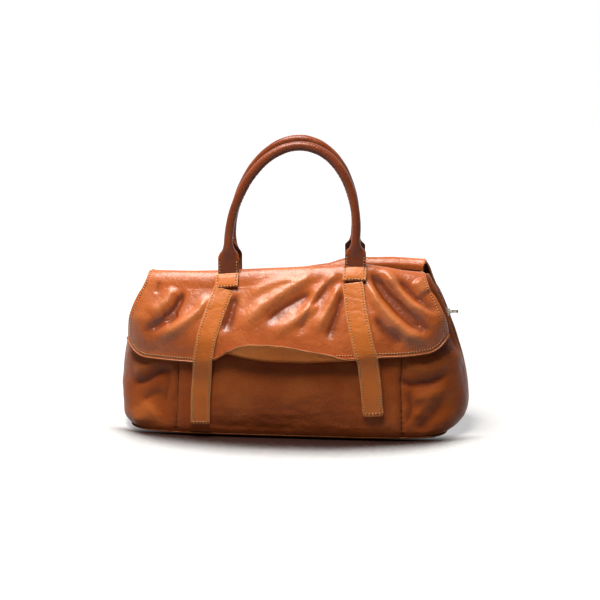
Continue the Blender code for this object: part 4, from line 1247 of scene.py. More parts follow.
@dataclass
class Flap(Soft):
    """The front flap: one hide from the front hump down to the curled hem, and its facing."""

    corner: float = 0.026
    flare: float = 3.0 * MM
    top_inset: float = 4.0 * MM
    crest_inset: float = 0.5 * MM
    end_inset: float = 19.3 * MM
    widening: float = 0.45
    free_from: float = 0.955
    free_share: float = 0.03
    hump_from: float = 12.2
    squareness: float = 12.0
    shift_x: float = -3.2 * MM
    open_gap: float = 1.2 * MM
    out: float = 3.1 * MM
    crest_out: float = 1.8 * MM
    leather: float = 1.4 * MM
    facing: float = 0.8 * MM
    columns: int = 260
    hump_rows: int = 36
    front_rows: int = 92
    lip_rows: int = 18
    stitch_inset: float = 2.9 * MM
    hem: Table = (
        (-195, 92), (-172, 91.5), (-116, 91), (-92, 90.5), (-78, 97), (-66, 103.5), (-58, 102.5),
        (-45, 99.8), (-25, 97.2), (-5, 96.2), (24, 96.2), (45, 97.2), (58, 98), (75, 98.5),
        (103, 100.5), (140, 101.5), (172, 104), (195, 105),
    )
    lip: Table = (
        (-95, 0.5), (-88, 1.2), (-78, 2.2), (-66, 4), (-58, 9), (-45, 14.5), (-25, 17), (-5, 17),
        (10, 14.5), (24, 11.5), (45, 7), (58, 4), (75, 2), (90, 1.0), (100, 0.5),
    )

    def __post_init__(self) -> None:
        """Works out the shares of the grid and its outer face."""
        form = self.skin.form
        self.top = self.skin.ring(form.fold)[0] - 0.2 * MM
        even = np.linspace(-1, 1, self.columns)
        self.across = (np.sin(even * math.pi / 2) + even) / 2
        hump = np.linspace(form.fold - form.inner, 0, self.hump_rows, endpoint=False)
        front = np.linspace(0, 1, self.front_rows)
        self.down = np.concatenate([hump, front])
        self.face = self._outer_face()

    def _half(self, down: Array | float) -> Array:
        """The flap's half width at a share of its way down, or on the hump where negative."""
        down = np.asarray(down, float)
        top = self.skin.ring(self.skin.form.fold)[1] - self.top_inset
        full = self.skin.form.width / 2 - self.end_inset
        rise = 1 - np.exp(-np.clip(down, 0, 1) / self.widening)
        return top + (full - top) * rise / (1 - math.exp(-1 / self.widening))

    def _middle(self, z: Array) -> Array:
        """The flap's middle line, which leans with the body."""
        return self.skin.lean(z) + self.shift_x

    def _height(self, across: Array, down: Array) -> Array:
        """The height of a place on the front of the flap."""
        half = self._half(down)
        over = np.maximum(0, np.abs(across) * half - (half - self.corner)) * 0.95
        corner = self.corner - np.sqrt(np.maximum(self.corner**2 - over**2, 0))
        hem = table_mm(self.hem, across * half)
        return self.top - down * (self.top - hem - corner)

    def _front(self, across: Array, down: float) -> Array:
        """One row of the flap's hidden face, below the fold."""
        z = self._height(across, np.full_like(across, down))
        x = across * self._half(down) + self._middle(z)
        left, right, depth, square = self.skin.section(z)
        square = square + (self.squareness - square) * (1 - down) ** 2
        centre = self.skin.lean(z)
        width = np.where(x > 0, right, left) + self.open_gap * 2
        inside = self._inside(np.abs(x - centre) / width)
        y = -depth * (1 - inside**square) ** (1 / square)
        return np.stack([x, y - self.flare * down**2 - self.open_gap, z], axis=1)

    def _inside(self, share: Array) -> Array:
        """Shares of the body's half width, levelled off where the flap stands free of its ends."""
        past = np.maximum(share - self.free_from, 0) / self.free_share
        level = self.free_share * (1 - np.exp(-past)) * 0.8
        return np.minimum(share, self.free_from) + level

    def _hump_half(self, left: Array | float, fold: Array | float) -> Array:
        """The flap's half width on the hump, from the body's and the share of the way down."""
        return left - self.crest_inset - (self.top_inset - self.crest_inset) * fold

    def _hump(self, across: Array, place: float) -> Array:
        """One row of the flap's hidden face, over the hump."""
        z, left, right, depth, square, _ = self.skin.ring(place)
        fold = float(smoothstep(self.hump_from, self.skin.form.fold, place))
        square += (self.squareness - square) * fold
        half = self._hump_half(left, fold)
        middle, centre = float(self._middle(z)), float(self.skin.lean(z))
        x = across * half + middle
        width = np.where(x > centre, right, left) + self.open_gap * 2 * fold
        inside = self._inside(np.abs(x - centre) / width)
        y = -depth * (1 - inside**square) ** (1 / square) - self.open_gap * fold
        return np.stack([x, y, np.full_like(x, z)], axis=1)

    def _outer_face(self) -> Patch:
        """The flap's outer face from the hem up to the zip, with its folds."""
        down = self.down[::-1, None]
        place = self.skin.form.fold - down
        rows = [
            self._hump(self.across, float(p)) if d < 0 else self._front(self.across, float(d))
            for d, p in zip(down[:, 0], place[:, 0])
        ]
        base = Patch(np.array(rows))
        fold = np.where(down < 0, smoothstep(self.hump_from, self.skin.form.fold, place), 1.0)
        out = self.crest_out + (self.out - self.crest_out) * fold
        below = 1.0 - 0.55 * smoothstep(0.86, 1.0, down)
        fade = np.where(down < 0, smoothstep(12.3, 10.9, place), below)
        plain = base.moved(out)
        x, z = plain.points[..., 0], plain.points[..., 2]
        share = np.clip(down, 0, 1)
        puff = 1.4 * MM * np.sin(share * math.pi) ** 0.7 * (1 - np.abs(self.across) ** 6)
        folds = fold_relief(FLAP_FOLDS, x, z) * fade * 1.35
        small = 0.75 * MM * lumps(plain.points, 34 * MM, 2.0)
        small += 0.28 * MM * lumps(plain.points, 11 * MM, 8.0)
        relief = folds + small * fade * (0.35 + 0.65 * smoothstep(0, 0.1, share))
        shaped = plain.moved(puff).sculpted(np.maximum(relief, -5.2 * MM))
        return self._with_lip(self.settle.settled(shaped))

    def _with_lip(self, patch: Patch) -> Patch:
        """Adds the rows of the hem that curl forward and up between the straps."""
        hem, normal = patch.points[0], patch.normals()[0]
        down = unit(hem - patch.points[2])
        height = table_mm(self.lip, hem[:, 0])
        curl = np.clip(height / (5 * MM), 0, 1)[:, None]
        inward = smoothstep(0.0, 0.05, 1 - np.abs(self.across))[:, None]
        radius = (0.1 * MM + 1.5 * MM * curl) * inward
        turn = math.radians(168) * np.sqrt(curl)
        bend_rows = self.lip_rows * 2 // 3
        rows = []
        for k in range(1, bend_rows + 1):
            angle = turn * k / bend_rows
            rows.append(hem + normal * radius * (1 - np.cos(angle)) + down * radius * np.sin(angle))
        heading = normal * np.sin(turn) + down * np.cos(turn)
        run = np.maximum(height[:, None], 0.25 * MM) * (0.05 + 0.95 * inward)
        last = rows[-1]
        for k in range(1, self.lip_rows - bend_rows + 1):
            share = k / (self.lip_rows - bend_rows)
            rows.append(last + heading * run * share + normal * curl * 1.2 * MM * share**2)
        relief = np.concatenate([np.repeat(patch.relief[:1], len(rows), axis=0), patch.relief])
        return Patch(np.concatenate([np.array(rows)[::-1], patch.points]), relief)

    def locate(self, x: Array, z: Array) -> Line:
        """The shares across and down of places on the front, before the leather sinks."""
        across = np.clip((x - self._middle(z)) / self._half(1.0), -1, 1)
        for _ in range(12):
            span = self.top - self._height(across, np.ones_like(across))
            down = np.clip((self.top - z) / span, 0, 1)
            across = np.clip((x - self._middle(z)) / self._half(down), -1, 1)
        return across, down

    def on_face(self, across: Array, down: Array) -> Line:
        """Points and outward directions at shares across and down, negative on the hump."""
        last = len(self.face.points) - 1
        row = last - np.interp(down, self.down, np.arange(len(self.down)))
        column = np.interp(across, self.across, np.arange(self.columns))
        return self.face.at(row, column)

    def on_hump(self, x: Array, z: Array) -> Line:
        """Points and outward directions on the outer side of the hump, by X and height."""
        form = self.skin.form
        place = self.skin.place_at(z)
        fold = smoothstep(self.hump_from, form.fold, place)
        left = np.array([self.skin.ring(float(p))[1] for p in np.ravel(place)]).reshape(z.shape)
        across = (x - self._middle(z)) / self._hump_half(left, fold)
        return self.on_face(across, form.fold - place)

    def _edge_runs(self) -> list[Line]:
        """The topstitch along both sides, round the corners and along the hem."""
        runs, inset = [], self.stitch_inset
        for side, stop in ((-1, -88), (1, 14)):
            hump = np.linspace(-3.2, 0, 40, endpoint=False)
            hump_across = np.full_like(hump, side * (1 - inset / 0.156))
            low = float(table_mm(self.hem, np.array(side * 0.176)))
            z = np.linspace(self.top, low + self.corner, 60)
            half = self._half(np.clip((self.top - z) / (self.top - low), 0, 1))
            x = side * (half - inset) + self._middle(z)
            turn = np.linspace(0, math.pi / 2, 16)
            centre = side * (self._half(1.0) - self.corner)
            arc_z = low + self.corner - (self.corner - inset) * np.sin(turn)
            arc_half = self._half(np.clip((self.top - arc_z) / (self.top - low), 0, 1))
            arc_x = side * (arc_half - self.corner + (self.corner - inset) * np.cos(turn))
            hem_x = np.linspace(float(centre), stop * MM, 90)[1:]
            hem_z = table_mm(self.hem, hem_x) + inset
            all_x = np.concatenate([x, arc_x + self._middle(arc_z), hem_x + self._middle(hem_z)])
            all_z = np.concatenate([z, arc_z, hem_z])
            across, down = self.locate(all_x, all_z)
            across = np.concatenate([hump_across, across])
            down = np.concatenate([hump, np.clip(down, 0, 0.999)])
            runs.append(self.on_face(across, down))
        return runs

    def build(self, sewing: Sewing) -> None:
        """Makes the flap's leather, its facing and its topstitch."""
        fold = FoldLine(start=(0.0, -0.0300, 0.1775), end=(0.0005, -0.0392, 0.1665))
        body = self.face.turned_down(7.0 * MM).rolled(0.45 * MM, 0.5 * MM)
        sheet_object(
            "flap_hide", body, self.leather, self.palette.hide(self.palette.flap), Body.FLAP,
            Slot.FLAP, "flap_leather", "flap_root", fold=fold,
        )
        below = len(self.face.points) - self.hump_rows - 3
        inner = Patch(self.face.moved(-(self.leather + 0.08 * MM)).points[:below])
        inner = inner.trimmed(0.25 * MM)
        sheet_object(
            "flap_facing_leather", inner, self.facing, self.palette.backing(), Body.FLAP,
            Slot.FLAP, "flap_facing", fold=fold,
        )
        thread = sewing.sew("flap_topstitch", self._edge_runs())
        settle_in(thread, Body.FLAP, Slot.FLAP, fold=fold)


@dataclass
class RearYoke(Soft):
    """The leather that is sewn over the rear hump."""

    leather: float = 1.4 * MM
    out: float = 1.9 * MM
    drop: float = 4.75 * MM
    margin: float = 5.5 * MM
    stitch_inset: float = 2.9 * MM
    rows: int = 46
    columns: int = 300

    def __post_init__(self) -> None:
        """Works out the outer face."""
        form = self.skin.form
        low = float(self.skin.place_at(self.skin.ring(form.fold)[0] - self.drop))
        self.places = np.linspace(low, form.inner, self.rows)
        rows = [self.skin.row(place, self._marks(place)) for place in self.places.tolist()]
        flat = Patch(np.array(rows))
        relief = 0.5 * MM * lumps(flat.points, 40 * MM, 14.0)
        relief += 0.22 * MM * lumps(flat.points, 12 * MM, 15.0)
        fade = smoothstep(12.4, 11.2, self.places)[:, None]
        self.face = self.settle.settled(flat.moved(self.out).sculpted(relief * fade).mirrored())

    def _marks(self, place: float) -> Array:
        """Lengths round a ring from the left end to the right one."""
        _, _, _, depth, _, opening = self.skin.ring(place)
        near = float(smoothstep(11.0, 12.6, place))
        cut = min(opening + self.margin * (1 - 0.85 * near), depth - 1.2 * MM)
        return self.skin.round_marks(place, cut * (1 - 0.5 * near), self.columns)

    def on_hump(self, x: Array, z: Array) -> Line:
        """Points and outward directions on the outer side of the rear hump."""
        place = self.skin.place_at(z)
        row = np.interp(place, self.places, np.arange(self.rows))
        column = np.empty(np.shape(x))
        for index in np.ndindex(*np.shape(x)):
            marks = self._marks(float(place[index]))
            mark = float(self.skin.mark_x(float(place[index]), x[index]))
            share = (mark - marks[0]) / (marks[-1] - marks[0])
            column[index] = (self.columns - 1) * (1 - share)
        return self.face.at(row, column)

    def build(self, sewing: Sewing) -> None:
        """Makes the yoke and the stitching along its lower edge and its ends."""
        body = self.face.turned_down(8.0 * MM).rolled(0.4 * MM, 0.5 * MM)
        leather = self.palette.hide(self.palette.flap, dark=True)
        sheet_object(
            "rear_yoke_hide", body, self.leather, leather, Body.BAG, Slot.FLAP, "back_yoke"
        )
        points = self.face.points
        low = self.stitch_inset / np.linalg.norm(points[1, 20] - points[0, 20])
        edge = self.stitch_inset / np.linalg.norm(points[10, 1] - points[10, 0])
        up = np.linspace(3, self.rows - 8, 40)
        runs = [
            self.face.at(low, np.linspace(3, self.columns - 4, 300)), self.face.at(up, edge),
            self.face.at(up, self.columns - 1 - edge),
        ]
        settle_in(sewing.sew("yoke_topstitch", runs), Body.BAG, Slot.FLAP)


# Straps


@dataclass
class Strap:
    """One of the two sewn straps that hang over the flap."""

    flap: Flap
    palette: Palette
    name: str
    body: Body
    line: Table
    end: float
    corner: float
    creases: float
    seed: float
    width: float = 0.0228
    above: float = 0.0
    leather: float = 1.5 * MM
    backing: float = 0.8 * MM
    rows: int = 150
    columns: int = 23
    stitch_inset: float = 2.4 * MM

    def _grid(self) -> Patch:
        """The strap's outer face, from its free end up."""
        top = self.flap.top - 0.6 * MM + self.above
        side = np.linspace(-1, 1, self.columns)
        offsets = side * self.width / 2
        layers = self.leather + self.backing + 0.5 * MM
        share = np.linspace(0, 1, self.rows)
        z_mid = top - share * (top - self.end)
        x_mid = table_mm(self.line, z_mid)
        hem = float(table_mm(self.flap.hem, table_mm(self.line, np.array(0.1))))
        on_flap = z_mid > hem + 1 * MM
        fronts = []
        for probe in np.linspace(-1, 1, 7) * self.width / 2:
            across, down = self.flap.locate(x_mid + probe, np.maximum(z_mid, hem + 1 * MM))
            fronts.append(self.flap.on_face(across, np.clip(down, 0, 0.995))[0])
        fronts = np.array(fronts)
        window = np.hanning(13)
        edges = []
        for edge in (fronts[:3, :, 1].min(axis=0), fronts[4:, :, 1].min(axis=0)):
            even = np.convolve(np.pad(edge, 6, "edge"), window / window.sum(), "valid")
            edges.append(np.minimum(even, edge + 0.3 * MM))
        z = fronts[3, :, 2].copy()
        last = int(np.argmin(on_flap)) - 1
        below = np.arange(self.rows) > last
        body_z = z_mid[below]
        half, _, depth, square = self.flap.skin.section(body_z)
        inside = np.clip(np.abs(x_mid[below]) / half, 0, 1)
        front = -depth * (1 - inside**square) ** (1 / square) - 1.6 * MM
        past = z_mid[last] - body_z
        eased = smoothstep(0, 0.042, past)
        for edge in edges:
            edge[below] = np.minimum(edge[last] + (front - edge[last]) * eased, front)
        z[below] = body_z + (z[last] - z_mid[last]) * (1 - smoothstep(0, 0.02, past))
        over = np.maximum(0, np.abs(offsets) - (self.width / 2 - self.corner))
        corner = self.corner - np.sqrt(np.maximum(self.corner**2 - over**2, 0))
        lift = corner * smoothstep(0.90, 1.0, share)[:, None]
        tilt = -np.gradient(x_mid, z_mid)[:, None] * offsets * 0.8
        mix = (side + 1) / 2
        y = edges[0][:, None] * (1 - mix) + edges[1][:, None] * mix - layers
        grid = np.stack([x_mid[:, None] + offsets, y, z[:, None] + lift + tilt], axis=2)
        return Patch(grid[::-1])

    def _sculpted(self, patch: Patch) -> Patch:
        """Stitch grooves, a pillow between them, cross creases near the top and soft waves."""
        side = np.linspace(-1, 1, self.columns)[None, :] * self.width / 2
        edge = self.width / 2 - np.abs(side)
        groove = -0.28 * MM * np.exp(-(((edge - self.stitch_inset) / (0.9 * MM)) ** 2))
        pillow = 0.35 * MM * (1 - (2 * side / self.width) ** 4)
        z = patch.points[..., 2]
        near_top = smoothstep(0.112, 0.160, z)
        cross = np.sin(z / (2.6 * MM) + 3 * lumps(patch.points, 14 * MM, self.seed))
        crease = -0.30 * MM * self.creases * near_top * np.maximum(cross, 0) ** 2
        wave = 0.5 * MM * lumps(patch.points * [0.3, 0.3, 1], 24 * MM, self.seed + 3)
        return patch.sculpted(groove + pillow + crease + wave)

    def build(self, sewing: Sewing) -> None:
        """Makes the strap's leather, its backing and its stitching."""
        label, place = self.name, (self.body, Slot.FLAP)
        face = self._sculpted(self._grid())
        sheet_object(
            f"{label}_hide", face.rolled(0.4 * MM, 0.4 * MM), self.leather,
            self.palette.hide(self.palette.strap), *place, f"{label}_leather",
        )
        inner = Patch(face.moved(-(self.leather + 0.06 * MM)).points).trimmed(0.3 * MM)
        sheet_object(
            f"{label}_lining_leather", inner, self.backing, self.palette.backing(), *place,
            f"{label}_backing",
        )
        inset = self.stitch_inset / self.width * (self.columns - 1)
        low = self.stitch_inset / np.linalg.norm(face.points[12, 0] - face.points[11, 0])
        runs = face.box(low, self.rows - 3, inset, 200)
        settle_in(sewing.sew(f"{label}_stitching", runs), *place)


# Handles


@dataclass
class Handle(Soft):
    """A rolled handle: one strip, sewn flat at both ends and curled round a cord between."""

    cover: "Flap | RearYoke"
    side: Side
    lower: float = 0.0
    radius: float = 5.2 * MM
    wall: float = 1.4 * MM
    slit: float = 0.3 * MM
    tab_width: float = 0.0245
    tab_length: float = 0.0125
    tab_x: float = 0.0750
    tab_gap: float = 0.8 * MM
    rise: float = 0.1135
    lean: float = 0.0090
    top_y: float = -0.0170
    spread: float = 1.3
    foot: float = 0.0355
    flare: float = 0.023
    lift: float = 2.2 * MM
    hinge_gap: float = 1.1 * MM
    shift_x: float = 0.0
    turn_share: float = 0.62
    columns: int = 41

    def __post_init__(self) -> None:
        """Finds the hinge line."""
        form = self.skin.form
        self.fold_z = self.skin.ring(form.fold)[0]
        place = float(self.skin.place_at(self.fold_z + self.tab_length + self.tab_gap))
        foot = self.skin.point(place, float(self.skin.mark_x(place, self.tab_x)), 3.7 * MM)
        self.axis_y, self.axis_z = float(foot[1]), float(foot[2]) + self.hinge_gap

    def _route(self) -> tuple[Array, Array, Array]:
        """Stations of the strip above its hinge, as for the front handle.

        Returns:
            The centres, the directions along, and how far the foot has sunk at each.
        """
        spring = self.axis_z + self.foot
        centre = [(-self.tab_x, 0.0, z) for z in np.linspace(self.axis_z, spring, 26)[:-1]]
        rise = self.rise - self.lower
        for turn in np.linspace(math.pi, 0, 121):
            share = math.sin(turn)
            x = self.tab_x * math.cos(turn) + self.lean * share
            centre.append((x, 0.0, spring + rise * share))
        centre += [(self.tab_x, 0.0, z) for z in np.linspace(spring, self.axis_z, 26)[1:]]
        points = np.array(centre) + np.array([self.shift_x, 0, 0])
        share = (points[:, 2] - self.axis_z) / (rise + self.foot)
        points[:, 1] = self.axis_y + (self.top_y - self.axis_y) * share**self.spread
        points[:, 1] -= self.lift * np.sin(np.clip(share * 4, 0, 1) * math.pi)
        height = points[:, 2] - self.axis_z
        points[:, 1] -= 1.5 * MM * (1 - smoothstep(0, 0.014, height))
        sunk = self.settle.drop(points[:, 0], points[:, 1] * -self.side.value)
        return points, unit(np.gradient(points, axis=0)), sunk * (1 - smoothstep(0, 0.050, height))

    def _strip(self) -> Line:
        """The strip's outer face above the hinge, and how far each row is curled."""
        points, tangents, sunk = self._route()
        rolled = 2 * math.pi * self.radius - self.slit
        rows, curls = [], []
        for centre, tangent, sink, travelled in zip(points, tangents, sunk, lengths_along(points)):
            height = centre[2] - self.axis_z
            curl = float(smoothstep(self.foot - self.flare, self.foot, height))
            rear = unit(np.array([0, 1, 0]) - tangent * tangent[1])
            outside = np.cross(tangent, rear)
            above = max(height - self.foot, 0) / (self.rise - self.lower)
            twist = math.pi / 2 * min(above / self.turn_share, 1)
            face = -(rear * math.cos(twist) - outside * math.sin(twist))
            across = np.cross(tangent, face)
            width = self.tab_width + (rolled - self.tab_width) * curl
            bend = rolled / self.radius * max(curl, 0.02)
            radius = width / bend
            angle = np.linspace(-bend / 2, bend / 2, self.columns)
            pinch = np.exp(-(((bend / 2 - np.abs(angle)) * radius / (1.5 * MM)) ** 2))
            ripple = 0.75 + 0.25 * math.cos(travelled / (4.2 * MM) * 2 * math.pi)
            swell = radius + float(smoothstep(0.8, 1.0, curl)) * 0.75 * MM * pinch * ripple
            aside = swell * np.sin(angle)
            ahead = swell * np.cos(angle) - radius + self.radius * curl
            row = centre + across * aside[:, None] + face * ahead[:, None]
            row[:, 2] += sink
            rows.append(row)
            curls.append(curl)
        return np.array(rows), np.array(curls)

    def _tab(self, x_centre: float) -> Array:
        """A sewn end on the hump: rows from its lower edge up, columns from left to right."""
        offsets = np.linspace(-self.tab_width / 2, self.tab_width / 2, self.columns)
        heights = np.linspace(self.fold_z + self.tab_gap, self.fold_z + self.tab_length, 12)
        x, z = np.meshgrid(x_centre + self.shift_x + offsets, heights)
        points, normals = self.cover.on_hump(x, z)
        return points + normals * 1.95 * MM

    def _face(self) -> tuple[Patch, Array]:
        """The whole strip with both sewn ends, and how far each row is curled."""
        strip, curls = self._strip()
        strip = strip * [1, -self.side.value, 1]
        left, right = self._tab(-self.tab_x), self._tab(self.tab_x)
        rows = np.concatenate([left, strip, right[::-1, ::-1]])
        if self.side is Side.REAR:
            rows = rows[:, ::-1]
        flat = np.zeros(len(left))
        return Patch(rows), np.concatenate([flat, curls, flat])

    def build(self, sewing: Sewing) -> None:
        """Makes the strip, its cord core and its stitching."""
        face, curls = self._face()
        fine = 0.22 * MM * lumps(face.points * [1, 1, 0.5], 9 * MM, 40.0 + self.side.value)
        edge = np.abs(np.linspace(-1, 1, self.columns))[None, :]
        box = 0.3 * MM * np.exp(-(((1 - edge) * self.tab_width / 2 / (1.2 * MM)) ** 2))
        face = face.sculpted(fine - box * (1 - curls[:, None]))
        y = self.side.value * self.axis_y + float(SHIFT[1])
        fold = FoldLine(start=(0.0, y, 0.1895), end=(0.0, y, 0.2010))
        label, leather = self.side.label, self.palette.hide(self.palette.handle, dark=True)
        body = Body.FRONT_HANDLE if self.side is Side.FRONT else Body.REAR_HANDLE
        sheet_object(
            f"{label}_handle_hide", face, self.wall, leather, body, Slot.HANDLE,
            f"{label}_handle_sleeve", f"{label}_left_tab", f"{label}_right_tab", fold=fold,
        )
        self._core(body)
        self._stitches(sewing, face, curls, body, fold)

    def _core(self, body: Body) -> None:
        """The twisted cord inside the rolled part."""
        points, _, sunk = self._route()
        points[:, 2] += sunk
        points = points[(points[:, 2] - self.axis_z) > self.foot - 1 * MM]
        points = points * [1, -self.side.value, 1]
        deselect()
        bpy.ops.curve.primitive_bezier_curve_add()
        obj = bpy.context.active_object
        obj.name = f"{self.side.label}_handle_cord"
        curve = obj.data
        curve.splines.clear()
        spline = curve.splines.new("POLY")
        spline.points.add(len(points) - 1)
        for target, point in zip(spline.points, points + SHIFT):
            target.co = (*point, 1)
        curve.bevel_depth = 3.0 * MM
        curve.bevel_resolution = 4
        curve.use_fill_caps = True
        bpy.ops.object.convert(target="MESH")
        obj.data.name = obj.name
        obj.data.materials.append(self.palette.cord)
        settle_in(obj, body, Slot.CORE, f"{self.side.label}_handle_core")

    def _stitches(
        self, sewing: Sewing, face: Patch, curls: Array, body: Body, fold: FoldLine
    ) -> None:
        """The seam along the rolled part, and the box stitched round each sewn end."""
        rolled, columns = np.flatnonzero(curls > 0.9), self.columns - 1
        row = np.linspace(rolled[0], rolled[-1], 500)
        inset = 1.3 * MM / self.tab_width * columns
        runs = [face.at(row, inset), face.at(row, columns - inset)]
        seam = sewing.sew(f"{self.side.label}_handle_seam", runs, tilt=0.2, pitch=4.2 * MM)
        settle_in(seam, body, Slot.HANDLE)
        edge, last = 2.2 * MM / self.tab_width * columns, len(curls)
        boxes = face.box(1.9, 22.0, edge, 40) + face.box(last - 2.9, last - 23.0, edge, 40)
        ends = sewing.sew(f"{self.side.label}_tab_stitching", boxes)
        settle_in(ends, body, Slot.HANDLE, fold=fold)


@dataclass
class Keeper:
    """The square of strap leather that is stitched over a handle's sewn end."""

    cover: "Flap | RearYoke"
    palette: Palette
    side: Side
    name: str
    x: float
    width: float = 0.0248
    low: float = -1.6 * MM
    high: float = 13.4 * MM
    wall: float = 1.3 * MM
    inset: float = 2.3 * MM
    rows: int = 26
    columns: int = 34

    def build(self, sewing: Sewing, fold_z: float) -> None:
        """Makes the leather square and its box stitch."""
        offsets = np.linspace(-self.width / 2, self.width / 2, self.columns)
        heights = np.linspace(fold_z + self.low, fold_z + self.high, self.rows)
        x, z = np.meshgrid(self.x + offsets, np.maximum(heights, fold_z + 0.2 * MM))
        points, normals = self.cover.on_hump(x, z)
        under = np.minimum(heights - fold_z - 0.2 * MM, 0)
        points[..., 2] += under[:, None]
        stand = 4.9 * MM - 1.5 * MM * smoothstep(0.0, 0.8, np.linspace(0, 1, self.rows))
        points = points + normals * stand[:, None, None]
        if self.side is Side.REAR:
            points = points[:, ::-1]
        face = Patch(points)
        edge = face.edge_distance()
        groove = -0.3 * MM * np.exp(-(((edge - self.inset) / (0.9 * MM)) ** 2))
        face = face.sculpted(groove + 0.3 * MM * smoothstep(0.002, 0.007, edge))
        sheet_object(
            f"{self.name}_keeper", face.rolled(0.45 * MM, 0.5 * MM), self.wall,
            self.palette.hide(self.palette.strap), Body.BAG, Slot.FLAP,
        )
        column_step = self.width / (self.columns - 1)
        row_step = (self.high - self.low) * 1.3 / (self.rows - 1)
        c, r = self.inset / column_step, self.inset / row_step
        thread = sewing.sew(
            f"{self.name}_keeper_stitching", face.box(r, self.rows - 1 - r, c, 30), tilt=0.1
        )
        settle_in(thread, Body.BAG, Slot.FLAP)


# Zip


